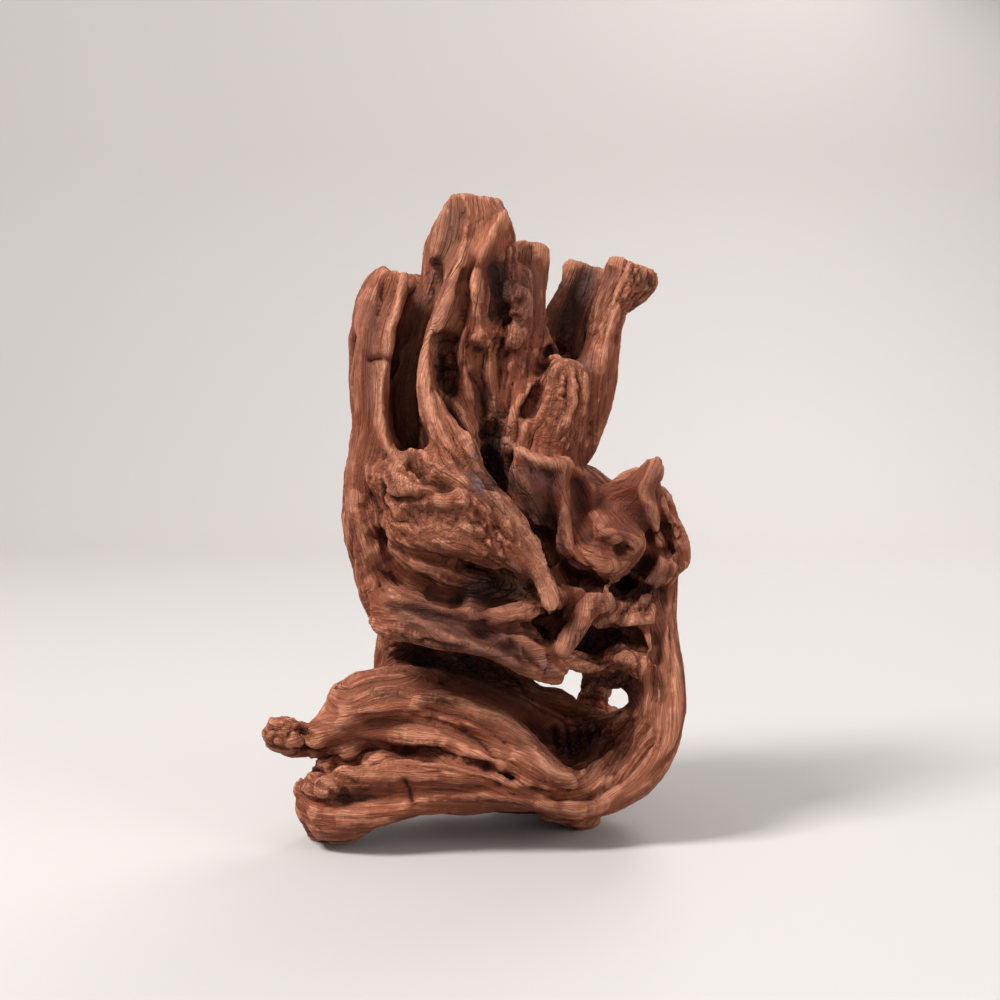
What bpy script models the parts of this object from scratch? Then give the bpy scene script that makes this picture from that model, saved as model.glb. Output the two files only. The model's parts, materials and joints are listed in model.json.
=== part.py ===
"""Aquarium driftwood: one grown piece of weathered red root wood that stands on three feet.

A low log runs along the front, curls up round the right-hand side and feeds a hollow trunk,
which ends in a left wall, a spire, a stub and a gutter-shaped branch. A drop-shaped lobe and
a smooth cupped wing stand in front of the trunk, and a slot opens between trunk and log.

Blender 4.5. Lengths in the lists are millimetres; the finished mesh is in metres.
The origin lies on the table under the middle of the piece, +Z is up and -Y is the front.
"""

import math

import bmesh
import bpy
import numpy as np
from mathutils import Matrix, Vector, noise
from mathutils.bvhtree import BVHTree

# The eye that the front was drawn from, in millimetres: above the table, in front of the middle
# of the log and to the right of it.
EYE_HEIGHT = 134.0
EYE_DISTANCE = 474.0
EYE_ASIDE = 6.7
EYE = Vector((EYE_ASIDE, -EYE_DISTANCE, EYE_HEIGHT))
MILLIMETRE = 0.001

# The tubes that the roots are drawn with: the step from ring to ring, the sides of a ring, and
# the rings that round off an end, as angles round its curve.
RING_STEP = 2.5
RING_SIDES = 28
CAP_ANGLES = (25, 50, 72)

# The flutes along the grain: about how many to each way round, their length, and how far apart
# the patterns of two neighbouring roots are drawn.
FLUTE_COUNT = 1.6
FLUTE_LENGTH = 45.0
FLUTE_SHIFT = 7.3

# The skin: its even grid while it is worked on, the passes that soften it before and after the
# lines are drawn, and how many triangles are left at the end.
GRID = 1.0
SOFTENING = 0.5
PASSES_BEFORE = 4
PASSES_AFTER = 1
MOST_TRIANGLES = 11600

# Drawing a line: a sight line may end this short of a point, a surface that faces the eye by
# this much takes the whole depth, and the edge of what is seen is softened this many times.
SIGHT_GAP = 1.5
FACING_ENOUGH = 0.4
SIGHT_SPREAD = 3

# The look of dry red wood.
WOOD_COLOUR = (0.24, 0.095, 0.055, 1)
WOOD_ROUGHNESS = 0.85


def limb(*stations, ends=(0.6, 0.6), square=2.2, flutes=0.3):
    """A length of root. A station is x, z, y, half-width, half-depth and roll in degrees; x and z
    are where it looks to be from the eye, y is its depth. ends says how far each end bulges."""
    return {"stations": stations, "ends": ends, "square": square, "flutes": flutes}


# The roots: each is a tube of flattened rings, and all of them grow into one body.
LOG = {
    "front of the log": limb(
        (-46, 9, -16, 9, 8), (-43, 9, -17, 11.5, 12), (-38, 10, -18, 12, 15),
        (-28, 12.5, -18, 10, 17), (-15, 15, -18, 10, 18), (0, 16, -18, 12, 17),
        (15, 13, -17, 9.5, 16), (27, 8.6, -14, 6.4, 15), (37, 12, -11, 7, 16),
        (46, 20, -8, 7.5, 17), (50.6, 32, -6, 7.2, 17), (51.2, 45, -4, 6.8, 16),
        (50, 58, -2, 7, 15), (49, 70, 0, 8, 14), (49.5, 80, 1, 7, 12), (49.5, 87, 1, 5, 9),
    ),
    "upper band": limb(
        (-45, 25, -12, 4.8, 7), (-39, 27, -10, 7.5, 12), (-31, 31.5, -8, 11.5, 15),
        (-20, 32.5, -6, 11, 18), (-8, 31, -7, 8, 18), (5, 25.5, -9, 7, 16),
        (15, 18, -12, 5, 13),
    ),
    "prong": limb(
        (-57.5, 26, -12, 4, 4.4), (-53.5, 25.4, -13, 5, 6), (-50, 24.6, -12.5, 4.6, 5),
        (-44, 25, -12, 5, 7), flutes=0.5,
    ),
    "back rim of the trough": limb(
        (-22, 38, 10, 8.4, 11), (-5, 36, 12, 7.6, 11), (8, 33, 14, 7, 10), (20, 29, 14, 5.5, 7),
        (28, 26, 14, 5, 7), (37, 27.4, 12, 4.6, 6), (44, 30, 9, 4.6, 7), (50, 40, 3, 5, 8),
        flutes=0.2,
    ),
    "keel under the trough": limb(
        (-10, 18, 4, 12, 12), (4, 16, 3, 11, 12), (18, 14, 5, 10, 12), (30, 14.5, 5, 9, 12),
        (41, 19, 3, 8, 10), (48, 30, 0, 6, 10),
    ),
    "left strand behind the slot": limb(
        (-19, 67, 12, 8, 9), (-21.4, 55, 18, 6.6, 8), (-22, 44, 20, 7, 8), (-22.5, 34, 17, 9, 10),
        (-16, 22, 11, 9, 10),
    ),
    "middle strand behind the slot": limb(
        (-8, 64, 22, 11, 8), (-9, 52, 23, 10.5, 7), (-9, 42, 24, 10.5, 8), (-7, 32, 21, 10, 9),
        (0, 20, 13, 9, 10),
    ),
    "right strand behind the slot": limb(
        (9, 62, 20, 11, 9), (7, 52, 22, 10, 7), (6, 42, 22, 9.5, 7), (10, 32, 20, 8, 8),
        (18, 22, 15, 7, 9),
    ),
    "ledge behind the slot": limb(
        (0, 40, 20, 6, 8), (9, 38.4, 20, 6, 8), (16, 35.4, 20, 5, 7), (23, 34.2, 20, 4.4, 6),
        (29, 30.6, 19, 4.6, 6), (37, 27, 16, 4.6, 5), flutes=0.15,
    ),
    "rear root": limb(
        (22, 88, 22, 8, 7), (26, 72, 27, 9, 8), (31.4, 56, 30, 7, 8), (34.6, 44, 33, 4.2, 8),
        (33.8, 37, 34, 4, 8), (35, 26, 35.5, 6, 8), (36, 14, 37, 7.4, 9),
        (35.5, 5, 37.5, 9, 9.5), flutes=0.5,
    ),
    "buttress of the rear foot": limb(
        (8, 20, 12, 8, 9), (20, 14, 22, 6.5, 8), (32, 8, 33, 6.5, 8),
    ),
    "left foot": limb(
        (-41, 8, -15, 9, 9), (-42.5, 1, -14, 6.8, 7), (-42.6, -3.4, -13.4, 4.8, 5),
    ),
    "right foot": limb(
        (20, 9, -8, 7, 10), (27, 6.4, -4, 6, 9), (30.6, 2, 0, 4.6, 6), (31, -0.5, 1, 3.6, 4.4),
        flutes=0.15,
    ),
}

TRUNK = {
    "core": limb(
        (4, 58, 8, 25, 12), (6, 68, 7, 32, 16), (5, 80, 6, 35, 18), (0, 92, 5, 30, 19),
        (-3, 105, 5, 26.5, 17), (-2, 118, 5, 26, 15), (-3, 130, 5, 26, 12), (-6, 138, 5, 20, 10),
    ),
    "left strand": limb(
        (-20, 62, 14, 9.4, 9), (-24.5, 78, 17, 9.6, 10), (-24, 96, 19, 9.5, 9),
        (-21, 114, 18, 9, 8), (-18, 132, 15, 8, 7), (-16, 146, 10, 7, 6),
    ),
    "second strand": limb(
        (-7, 58, 22, 10, 9), (-11, 76, 26, 10, 9), (-9, 95, 28, 10, 9), (-7, 114, 25, 10, 8),
        (-5, 134, 18, 9, 8), (-3, 152, 8, 8, 7),
    ),
    "third strand": limb(
        (10, 58, 22, 10, 9), (9, 78, 27, 9.5, 9), (8, 96, 27, 10, 9), (10, 112, 23, 9, 8),
        (14, 128, 19, 7, 7), (15, 142, 13, 5, 6),
    ),
    "right strand": limb(
        (29, 64, 14, 10, 9), (28, 78, 18, 10, 9), (20, 93, 20, 8.5, 8), (18.5, 106, 18, 8, 7),
        (22, 124, 17, 8, 6),
    ),
    "lower slab": limb(
        (-22.5, 64.6, -14, 8.6, 13), (-15, 61.8, -17, 8.8, 16), (-4, 58, -20, 8.5, 17),
        (7, 54, -21, 7, 15), (14, 49.5, -20, 6.5, 11), (20, 46, -18, 4.8, 8),
        (23, 44.2, -17, 3.4, 6), ends=(0.2, 0.6), square=3,
    ),
    "left wall": limb(
        (-23.4, 61, -11, 6.2, 15), (-26.4, 72, -9, 7, 17), (-28.5, 88, -8, 7.8, 19),
        (-28, 103, -8, 8, 17), (-29, 115, -8, 5.2, 14), (-30, 128, -8, 5.2, 12),
        (-29, 138, -6, 5.8, 10), (-27, 147, -4, 6, 8), (-22.5, 153, -2, 5.6, 6.5),
        ends=(0.15, 0.3), square=2.6, flutes=0.2,
    ),
    "back of the channel": limb(
        (-19, 104, 9, 9, 8), (-19, 120, 10, 9, 8), (-18, 136, 10, 9, 7), (-17, 148, 8, 7.5, 6),
        (-17, 154, 7, 6, 5), ends=(0.6, 0.2), square=3,
    ),
    "spire": limb(
        (-5, 124, 1, 14, 12), (-4, 138, -1, 14, 12), (-2.4, 150, -2, 13.4, 11),
        (-1.6, 160, -3, 12.4, 9.5), (-1, 168, -3, 10.6, 8), (-0.2, 175.5, -2, 7, 6),
        ends=(0.6, 0.12), square=3.2,
    ),
    "right side of the spire": limb(
        (9, 116, 1, 10, 9), (9, 132, 1, 9, 10), (11.5, 146, 2, 6.8, 8), (12.5, 155, 4, 5.5, 6),
        ends=(0.6, 0.4), flutes=0.5,
    ),
    "stub": limb(
        (14, 134, 7, 5, 6), (14.2, 146, 9, 4.8, 6), (14.8, 156, 10, 4.6, 5.2),
        (15.8, 162.6, 11, 4.6, 4.6), ends=(0.6, 0.12), square=3.4,
    ),
    "branch, right side": limb(
        (17, 98, 5, 8, 12), (22.5, 108, 3, 9.6, 13), (29.8, 121, 2, 7.4, 10),
        (34.8, 133, 3, 4.8, 8), (37.6, 145, 6, 4.8, 7), (42, 152.5, 8, 6.4, 6),
        (43.6, 157, 9, 6.8, 5.6), ends=(0.6, 0.12), square=2.8,
    ),
    "branch, far side": limb(
        (17, 112, 14, 12, 8), (22, 126, 17, 11, 5), (26.4, 140, 19, 9, 3.6),
        (31.4, 150, 21, 8.5, 3.2), (33.6, 156.6, 22, 9.4, 3), ends=(0.6, 0.1), square=3,
    ),
    "shoulder of the branch": limb(
        (15, 104, -5, 11, 9), (19, 114, -6, 10.5, 10), (22.6, 123, -6, 8.8, 10),
        (25, 129.8, -4.5, 6.8, 7.5), ends=(0.6, 0.3), square=3,
    ),
    "face between spire and branch": limb(
        (2, 94, -2, 12, 8), (3, 110, -1, 12, 8), (6, 124, -1, 12, 8), (8, 134, -1, 10, 8),
        flutes=0.5,
    ),
}

FRONT = {
    "rim of the channel": limb(
        (-3, 162, -9, 2.6, 4), (-6.6, 150, -11, 3, 5), (-10.8, 140, -13, 2.6, 6),
        (-13.4, 130, -15, 2.2, 7), (-13, 121, -18, 2.6, 8), (-10, 113, -21, 4, 8),
        (-6, 106, -22, 6, 8), (-3, 100, -22, 7, 8),
    ),
    "lobe": limb(
        (-25, 94, -16, 12, 12), (-15, 91, -21, 14, 14), (-5, 88.5, -23, 12.5, 14),
        (4, 84, -24, 9.5, 11), (11, 78.5, -26, 6.5, 8), (16.5, 72.5, -28, 4, 5),
        (20, 67, -30, 2.8, 3.4), (21.2, 63, -31, 1.7, 2),
    ),
    "belly under the lobe": limb(
        (-26, 79, -15, 9, 12), (-17, 74, -18, 8, 12), (-6, 69.5, -17, 6.5, 11),
        (4, 66, -15, 6, 9), (14, 64, -12, 6, 8),
    ),
    "cheek of the wing": limb(
        (31, 84, -8, 9, 9), (36.5, 80.4, -13, 10.4, 11), (41.5, 78, -14, 8.6, 9),
    ),
    "sheet of the wing": limb(
        (23, 96, -8, 7.3, 4), (27, 95.5, -8, 7.3, 4), (30.5, 92, -7, 7.5, 4),
        (34, 89, -7, 7.6, 4), (38, 88.6, -8, 8, 4), (42, 90.6, -9, 8.5, 4.4),
        (46, 93.5, -11, 8.8, 4.6), (49, 95.5, -13, 7.6, 4.4), ends=(0.5, 0.5), flutes=0.15,
    ),
    "left panel of the wing": limb(
        (18.4, 103.6, -18, 6.6, 2.8), (16.8, 99, -18, 7.6, 3.4), (17.4, 92, -14, 7, 5),
        (19, 84, -6, 6.4, 6), (20, 76, 0, 6, 6), ends=(0.25, 0.6), square=2.8, flutes=0.15,
    ),
    "fold of the wing": limb(
        (24.2, 102.6, -12, 2.2, 5), (24.4, 94, -12, 2.8, 6), (25.4, 84, -12, 3.2, 7),
        (28, 76, -12, 4.4, 7), flutes=0.15,
    ),
    "horn of the wing": limb(
        (43, 92, -9, 6, 5), (47, 98, -12, 4.4, 4.6), (49.6, 101.6, -13.4, 2.8, 3.2),
        flutes=0.15,
    ),
    "outer ear": limb(
        (51, 94, -5, 2.6, 6), (53.4, 88.5, -4, 3, 8), (55, 82, -5, 3.8, 9),
        (56.4, 76.5, -7, 3.6, 6.5), flutes=0.5,
    ),
    "strap under the ear": limb(
        (56.5, 76, -9, 3, 4.5), (51, 71.5, -12, 4, 5), (46, 66, -12, 4, 6),
        (41, 62, -11, 4, 6), flutes=0.5,
    ),
    "slanting stick": limb(
        (37, 67, -17, 4, 4), (32, 62.5, -22, 3, 3), (27.5, 56.5, -25, 2.9, 2.8),
        (23.4, 50, -26, 2.4, 2.4), ends=(0.6, 0.3),
    ),
    "short root under the tip": limb(
        (2.4, 58.6, -31, 2.4, 3), (8, 59.6, -30, 2.8, 3.4), (16, 62, -26, 2.6, 4),
        ends=(0.2, 0.6),
    ),
    "tongue under the tip": limb(
        (14, 64, -14, 5, 6), (22, 65.5, -14, 4.6, 6), (30, 66, -12, 4, 7), (38, 65, -9, 4, 7),
    ),
    "lip over the hole": limb(
        (19, 49.5, -12, 4, 8), (26, 48, -12, 2.9, 7), (32, 46, -10, 2.6, 7),
        (38, 48, -6, 4, 9), (47, 54, -4, 6, 10),
    ),
    "wood over the small hole": limb(
        (31.5, 48, 2, 4, 8), (36.5, 45.4, 2, 6, 8), (43.6, 44.4, 0, 5.8, 9), (50, 42, -2, 5, 10),
        flutes=0.2,
    ),
    "shelf under the wing": limb(
        (28, 62, -6, 5, 9), (36, 61, -10, 4.4, 9), (44, 60.4, -10, 4, 9), (51, 58, -8, 5, 9),
    ),
    "wall under the wing": limb(
        (24, 58, 0, 9, 8), (34, 58, 3, 10, 8), (45, 58, 2, 11, 8),
    ),
    "knuckle": limb(
        (37.6, 47.4, -11, 2.8, 4), (41, 49, -14, 3.8, 6), (45, 46.5, -14, 4.4, 6),
        (49, 43, -10, 4, 7), flutes=0.5,
    ),
}

# What weather and rot took away: the same tubes, cut out of the body.
HOLLOWS = {
    "channel": limb(
        (-10, 163, -22, 2.2, 6), (-13, 152, -15, 4, 9), (-17, 142, -12, 4.6, 11),
        (-19.4, 130, -11, 4.8, 12), (-20, 118, -12, 4.4, 12), (-19.6, 110, -16, 3.4, 12),
        (-19, 106, -22, 2, 8), flutes=0,
    ),
    "gutter of the branch": limb(
        (22.5, 137, 9, 5, 5), (27.5, 147, 12, 5.4, 6), (31.5, 157, 14, 5.6, 6.4),
        (33.5, 168, 14, 6, 7), flutes=0,
    ),
    "pocket of the trough": limb(
        (20.5, 22, -7, 3.4, 8), (25.5, 19.6, -6, 5.6, 10), (31, 20.6, -5, 6.2, 10),
        (36.6, 25, -4, 4, 8),
        flutes=0,
    ),
    "valley behind the rim": limb(
        (-10, 40, -3, 2.6, 7), (-2, 39, -3, 3.4, 8), (6, 36.5, -3, 4, 8), (14, 32, -4, 4.4, 8),
        (22, 28, -4, 4.6, 7), flutes=0,
    ),
    "hollow under the tip": limb(
        (-1, 68, -38, 2.4, 8), (4, 69, -32, 4, 9), (10, 69.5, -29, 4, 9), (16, 67, -26, 3, 7),
        flutes=0,
    ),
    "hollow behind the lobe": limb(
        (3.6, 104, -15, 3, 7), (6.4, 94, -14, 2.8, 8), (12.6, 85, -14, 3, 9),
        (18.4, 80, -15, 4, 9), (20.4, 74, -15, 3, 8), flutes=0,
    ),
    "hollow under the shelf": limb(
        (29, 53.5, -16, 2.4, 8), (34, 53, -14, 3.6, 9), (39, 54, -14, 2.4, 7), flutes=0,
    ),
    "hollow under the cheek": limb(
        (39, 66, -20, 2.4, 8), (44, 66.5, -18, 3, 8), (49, 67, -16, 2, 7), flutes=0,
    ),
    "gap behind the slab": limb(
        (27.2, 41, -30, 2.6, 3.3), (27.2, 41, 10, 2.6, 3.3), (27.2, 41, 60, 2.6, 3.3), flutes=0,
    ),
    "thin end of the gap": limb(
        (21.4, 40.3, -12, 4, 1, -6), (21.4, 40.3, 20, 4, 1, -6), (21.4, 40.3, 60, 4, 1, -6),
        flutes=0,
    ),
    "small hole": limb(
        (39.8, 35.3, -16, 3.5, 2), (39.8, 35.3, 20, 3.5, 2), (39.8, 35.3, 60, 3.5, 2), flutes=0,
    ),
    "hollow under the knuckle": limb(
        (31.5, 42, -16, 2, 7), (36.5, 41.4, -14, 3.2, 8), (42, 40.4, -14, 2.8, 7), flutes=0,
    ),
    "hollow by the stick": limb(
        (15, 57, -28, 2, 7), (20.6, 57.5, -25, 3.6, 9), (25, 61, -22, 2.4, 8), flutes=0,
    ),
}

# Ridges and grooves that each side shows: height (a groove is negative) and half-width, then
# where the line looks to run from that side's eye, across and up.
FRONT_LINES = {
    "crease under the band": (-4.5, 2.2, [
        (-48, 18.6), (-40, 20), (-36, 19), (-33, 21.5), (-28, 22.5), (-20, 21.5), (-12, 21),
        (-5, 19), (3, 17), (10, 14)]),
    "crease running out": (-2, 2, [(10, 14), (18, 9.5), (24, 6)]),
    "rim of the trough": (2, 1.9, [
        (-17, 35), (-10, 36), (-5, 35), (0, 32.5), (5, 31), (10, 28), (15, 23), (18, 19),
        (21, 15.5), (25, 13.6), (29, 14), (34, 17.5), (37, 22), (39, 27), (44, 31.5)]),
    "fold of the band": (-2.2, 2, [(-30, 28), (-22, 29.5), (-12, 29), (-3, 26.5), (8, 21)]),
    "pit in the end": (-4, 3, [(-45, 15.5), (-43, 14.5)]),
    "knob in the end": (2.4, 2.4, [(-42.5, 10.5)]),
    "neck of the prong": (-2, 1.8, [(-49.5, 31), (-48.6, 25), (-49.6, 19)]),
    "crack under the lobe": (-3.6, 2.1, [
        (-27.5, 83), (-26, 76), (-22, 71.5), (-18, 69.5), (-15, 69), (-12, 66.5), (-5, 65)]),
    "crack over the lobe": (-2, 1.8, [(-17.5, 103), (-15.5, 101.5), (-14, 99), (-8, 97)]),
    "rim of the left wall": (2, 1.8, [
        (-20, 156), (-21, 150), (-24, 140), (-25, 133), (-26.5, 124), (-26.4, 113), (-24, 107)]),
    "crack beside the bulge": (-4, 1.9, [(22, 134), (19, 131), (17, 126), (15.5, 120), (14, 117)]),
    "bark pocket": (-4, 3, [(-8.8, 136), (-9, 129), (-8.5, 122.5)]),
    "groove beside the ridge": (-2.6, 2, [(0, 158), (-2.5, 150), (-5, 143), (-7.6, 137)]),
    "arch": (1.8, 1.8, [(7, 170), (4, 165), (1.6, 161), (0.4, 157), (0, 150)]),
    "patch under the arch": (-4, 3, [(5.5, 156), (6.5, 150), (6.5, 145)]),
    "eyes beside the patch": (-2.4, 1.7, [(9.5, 146), (9.5, 141.5)]),
    "crumbly knots": (2, 2.2, [(12.5, 149), (12.8, 143), (11.5, 137.5), (7.5, 138.5)]),
    "furrow of the face": (-2.6, 2.2, [(0, 134), (1, 126), (2.5, 118), (3, 112)]),
    "bark in the middle": (-3.4, 3.2, [(5, 111), (3.6, 104), (6, 98)]),
    "tongue": (2.4, 2.2, [(-10, 121), (-6, 118), (-3, 113), (-1.6, 107), (-1, 103)]),
    "top edge of the panel": (1.8, 1.6, [(9.5, 107.6), (12.5, 105.6), (18, 103), (24, 102.6)]),
    "valley left of the fold": (-2.4, 2.6, [(20.5, 99), (20.5, 92), (20, 84)]),
    "valley right of the fold": (-2.4, 2.6, [(28.5, 97), (29, 90), (30, 82)]),
    "eye of the cheek": (-3.6, 2.1, [(41, 79)]),
    "brow": (2, 1.7, [(35, 84), (40, 81.7), (44.5, 80.5)]),
    "foot of the cheek": (-4, 2, [(25, 74), (28, 71.6), (33, 69), (39, 68.4), (44, 71), (48, 76)]),
    "crest of the horn": (2.2, 1.7, [(50, 102), (47.6, 97), (48, 92.5), (49.6, 88), (52, 81)]),
    "groove beside the crest": (-2.4, 1.7, [(52.6, 95), (51.6, 91), (53, 85), (54, 79)]),
    "outer groove of the curl": (-2.6, 2, [
        (52, 66), (52.6, 56), (54, 46), (53.5, 36), (49.5, 25), (42, 15), (33, 9), (22, 8)]),
    "inner groove of the curl": (-2.6, 1.9, [
        (49, 57), (51, 50), (49, 43), (49.5, 34), (45, 25), (38, 16.5)]),
    "groove of the log": (-2.2, 2, [(-38, 7), (-26, 8), (-10, 10), (4, 10), (16, 8)]),
    "groove in the slab": (-2.4, 1.9, [(-24, 62), (-14, 60.5), (-4, 59), (3, 55), (9, 51)]),
    "groove under the short root": (-2.6, 1.8, [(0, 55.5), (8, 56), (14, 56), (19, 53)]),
}


BACK_LINES = {
    "left furrow": (-3.6, 2.4, [
        (-17, 152), (-18, 134), (-16, 112), (-17, 92), (-18, 74), (-15, 58), (-15, 40), (-12, 28)]),
    "middle furrow": (-3.6, 2.4, [
        (1, 150), (3, 130), (0, 110), (-2, 94), (-3, 78), (0, 60), (-1, 42), (4, 26)]),
    "right furrow": (-3.4, 2.2, [(20, 142), (15, 122), (14, 104), (18, 86), (18, 68), (16, 52)]),
    "left ridge": (2.2, 2, [(-25, 142), (-27, 120), (-25, 98), (-28, 80), (-24, 62)]),
    "middle ridge": (2.2, 2.2, [(-8, 142), (-10, 118), (-7, 96), (-10, 78), (-8, 60), (-9, 44)]),
    "knot hole": (-7, 3.6, [(6.4, 88), (7, 82)]),
    "rim of the knot": (2.4, 1.8, [
        (4, 95), (0.6, 90), (0.6, 80), (4, 75.5), (10, 75.5), (12.6, 81), (12, 90), (9, 95), (4, 95)]),
    "scar": (-4.5, 3.6, [(-25, 36), (-20, 29)]),
    "furrow of the rear root": (-2.6, 1.9, [(27, 72), (32, 54), (34, 32), (36, 12)]),
    "furrow of the branch": (-2.4, 1.9, [(32, 152), (27, 138), (25, 122), (24, 106)]),
}

LEFT_LINES = {
    "front furrow": (-2.8, 1.9, [(-14, 136), (-15, 112), (-20, 96), (-22, 80), (-17, 67)]),
    "back furrow": (-2.8, 1.9, [(-3, 146), (-3, 120), (-5, 98), (-6, 82), (-3, 66)]),
    "furrow of the strand": (-2.8, 2, [(14, 140), (18, 118), (19, 96), (18, 76), (18, 56), (18, 36)]),
    "crack in the end": (-2.8, 2, [(-26, 17), (-22, 10), (-16, 5)]),
    "furrow of the band": (-2.6, 2, [(2, 42), (-3, 36), (-10, 31)]),
}

RIGHT_LINES = {
    "front furrow": (-3.2, 2.1, [(-11, 86), (-8, 70), (-9, 55), (-10, 40), (-13, 26), (-17, 14)]),
    "back furrow": (-3, 2, [(5, 84), (4, 68), (5, 52), (4, 38), (1, 24), (-3, 12)]),
    "furrow of the branch": (-2.6, 1.8, [(7, 150), (4, 136), (1, 121), (-1, 108)]),
    "furrow of the trunk": (-3, 2.2, [(24, 126), (24, 108), (26, 92), (28, 76), (32, 56)]),
}

# Each side: its eye, and which way it looks, along x (0) or y (1).
SIDES = (
    (FRONT_LINES, EYE, 1),
    (BACK_LINES, Vector((0, EYE_DISTANCE, EYE_HEIGHT)), 1),
    (LEFT_LINES, Vector((-EYE_DISTANCE, 0, EYE_HEIGHT)), 0),
    (RIGHT_LINES, Vector((EYE_DISTANCE, 0, EYE_HEIGHT)), 0),
)


def place(x, z, y):
    """The point at depth y that looks to be at x, z from the eye, and how much nearer it lies."""
    near = (EYE_DISTANCE + y) / EYE_DISTANCE
    return EYE + (Vector((x, 0, z)) - EYE) * near, near


def curve_through(rows, step):
    """Rows of numbers read off the smooth curve through them, about step apart."""
    rows = [np.array(row, float) for row in rows]
    rows = [2 * rows[0] - rows[1], *rows, 2 * rows[-1] - rows[-2]]
    made = []
    for a, b, c, d in zip(rows, rows[1:], rows[2:], rows[3:]):
        count = max(1, round(np.linalg.norm(c[:3] - b[:3]) / step))
        for k in range(count):
            t = k / count
            made.append(
                0.5 * (2 * b + (c - a) * t + (2 * a - 5 * b + 4 * c - d) * t**2
                       + (3 * b - a - 3 * c + d) * t**3)
            )
    made.append(rows[-2])
    return made


def rings_of(shape):
    """The centre, half-width, half-depth and roll of each ring of a limb, its ends rounded off."""
    rows = []
    for x, z, y, wide, deep, *roll in shape["stations"]:
        centre, near = place(x, z, y)
        rows.append([*centre, wide * near, deep * near, roll[0] if roll else 0.0])
    rows = curve_through(rows, RING_STEP)
    first, last = rows[0], rows[-1]
    start = (first - rows[1])[:3] / np.linalg.norm((first - rows[1])[:3])
    end = (last - rows[-2])[:3] / np.linalg.norm((last - rows[-2])[:3])
    for turn in CAP_ANGLES:
        angle = math.radians(turn)
        for row, way, bulge in ((first, start, shape["ends"][0]), (last, end, shape["ends"][1])):
            cap = row.copy()
            cap[:3] += way * math.sin(angle) * bulge * min(row[3], row[4])
            cap[3:5] *= math.cos(angle)
            if row is first:
                rows.insert(0, cap)
            else:
                rows.append(cap)
    return np.array(rows)


def ring_points(row, way, shape, seed, length):
    """The points round one ring: a squared ellipse with flutes that run on along the grain."""
    x, y, z, wide, deep, roll = row
    centre = Vector((x, y, z))
    way = Vector(way).normalized()
    ahead = Vector((0, 1, 0)) if abs(way.y) < 0.8 else Vector((0, 0, 1))
    across = way.cross(ahead).normalized()
    depth = across.cross(way).normalized()
    turn = Matrix.Rotation(math.radians(roll), 3, way)
    across, depth = turn @ across, turn @ depth
    points = []
    for k in range(RING_SIDES):
        angle = 2 * math.pi * k / RING_SIDES
        c, s = math.cos(angle), math.sin(angle)
        spot = Vector((c * FLUTE_COUNT + seed, s * FLUTE_COUNT, length / FLUTE_LENGTH))
        flute = 1 + shape["flutes"] * noise.noise(spot)
        c = math.copysign(abs(c) ** (2 / shape["square"]), c) * flute
        s = math.copysign(abs(s) ** (2 / shape["square"]), s) * flute
        points.append(centre + across * (wide * c) + depth * (deep * s))
    return points


def add_limb(bm, shape, seed):
    """Grows one limb: a circle, extruded ring by ring and closed at the far end."""
    rows = rings_of(shape)
    ways = np.gradient(rows[:, :3], axis=0)
    lengths = np.cumsum(np.linalg.norm(ways, axis=1))
    made = bmesh.ops.create_circle(bm, cap_ends=True, segments=RING_SIDES, radius=1)["verts"]
    ring = list(made[0].link_faces[0].verts)
    for step, (row, way, length) in enumerate(zip(rows, ways, lengths)):
        if step:
            edges = [bm.edges.get((ring[k - 1], ring[k])) for k in range(RING_SIDES)]
            grown = bmesh.ops.extrude_edge_only(bm, edges=edges)["geom"]
            new = {part for part in grown if isinstance(part, bmesh.types.BMVert)}
            ring = [next(edge.other_vert(vert) for edge in vert.link_edges
                         if edge.other_vert(vert) in new) for vert in ring]
        for vert, point in zip(ring, ring_points(row, way, shape, seed, length)):
            vert.co = point
    bm.faces.new(ring)


def tubes(name, *groups):
    """One object that holds every limb of these groups, each a closed tube."""
    bm = bmesh.new()
    for group in groups:
        for seed, shape in enumerate(group.values()):
            add_limb(bm, shape, FLUTE_SHIFT * seed)
    bmesh.ops.recalc_face_normals(bm, faces=bm.faces)
    mesh = bpy.data.meshes.new(name)
    bm.to_mesh(mesh)
    bm.free()
    made = bpy.data.objects.new(name, mesh)
    bpy.context.scene.collection.objects.link(made)
    return made


def modified(obj, kind, **settings):
    """Adds a modifier with these settings and applies it."""
    modifier = obj.modifiers.new(kind.title(), kind)
    for name, value in settings.items():
        setattr(modifier, name, value)
    graph = bpy.context.evaluated_depsgraph_get()
    mesh = bpy.data.meshes.new_from_object(obj.evaluated_get(graph))
    obj.modifiers.clear()
    old, obj.data = obj.data, mesh
    bpy.data.meshes.remove(old)


def grown_together(obj):
    """Makes overlapping tubes one skin, with an even mesh."""
    modified(obj, "REMESH", mode="VOXEL", voxel_size=GRID, adaptivity=0)


def carve(wood, *groups):
    """Cuts these tubes out of the wood."""
    tool = tubes("tool", *groups)
    grown_together(tool)
    modified(wood, "BOOLEAN", operation="DIFFERENCE", object=tool)
    bpy.data.objects.remove(tool)
    grown_together(wood)


def seen_from(eye, mesh, points, normals):
    """How much each point faces the eye with nothing in the way, from 0 to 1."""
    tree = BVHTree.FromPolygons([v.co for v in mesh.vertices], [p.vertices for p in mesh.polygons])
    seen = np.zeros(len(points))
    for k, (point, normal) in enumerate(zip(points, normals)):
        ray = Vector(point) - eye
        facing = -ray.normalized().dot(Vector(normal))
        if facing > 0 and tree.ray_cast(eye, ray, ray.length - SIGHT_GAP)[0] is None:
            seen[k] = min(1.0, facing / FACING_ENOUGH)
    return seen


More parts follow.
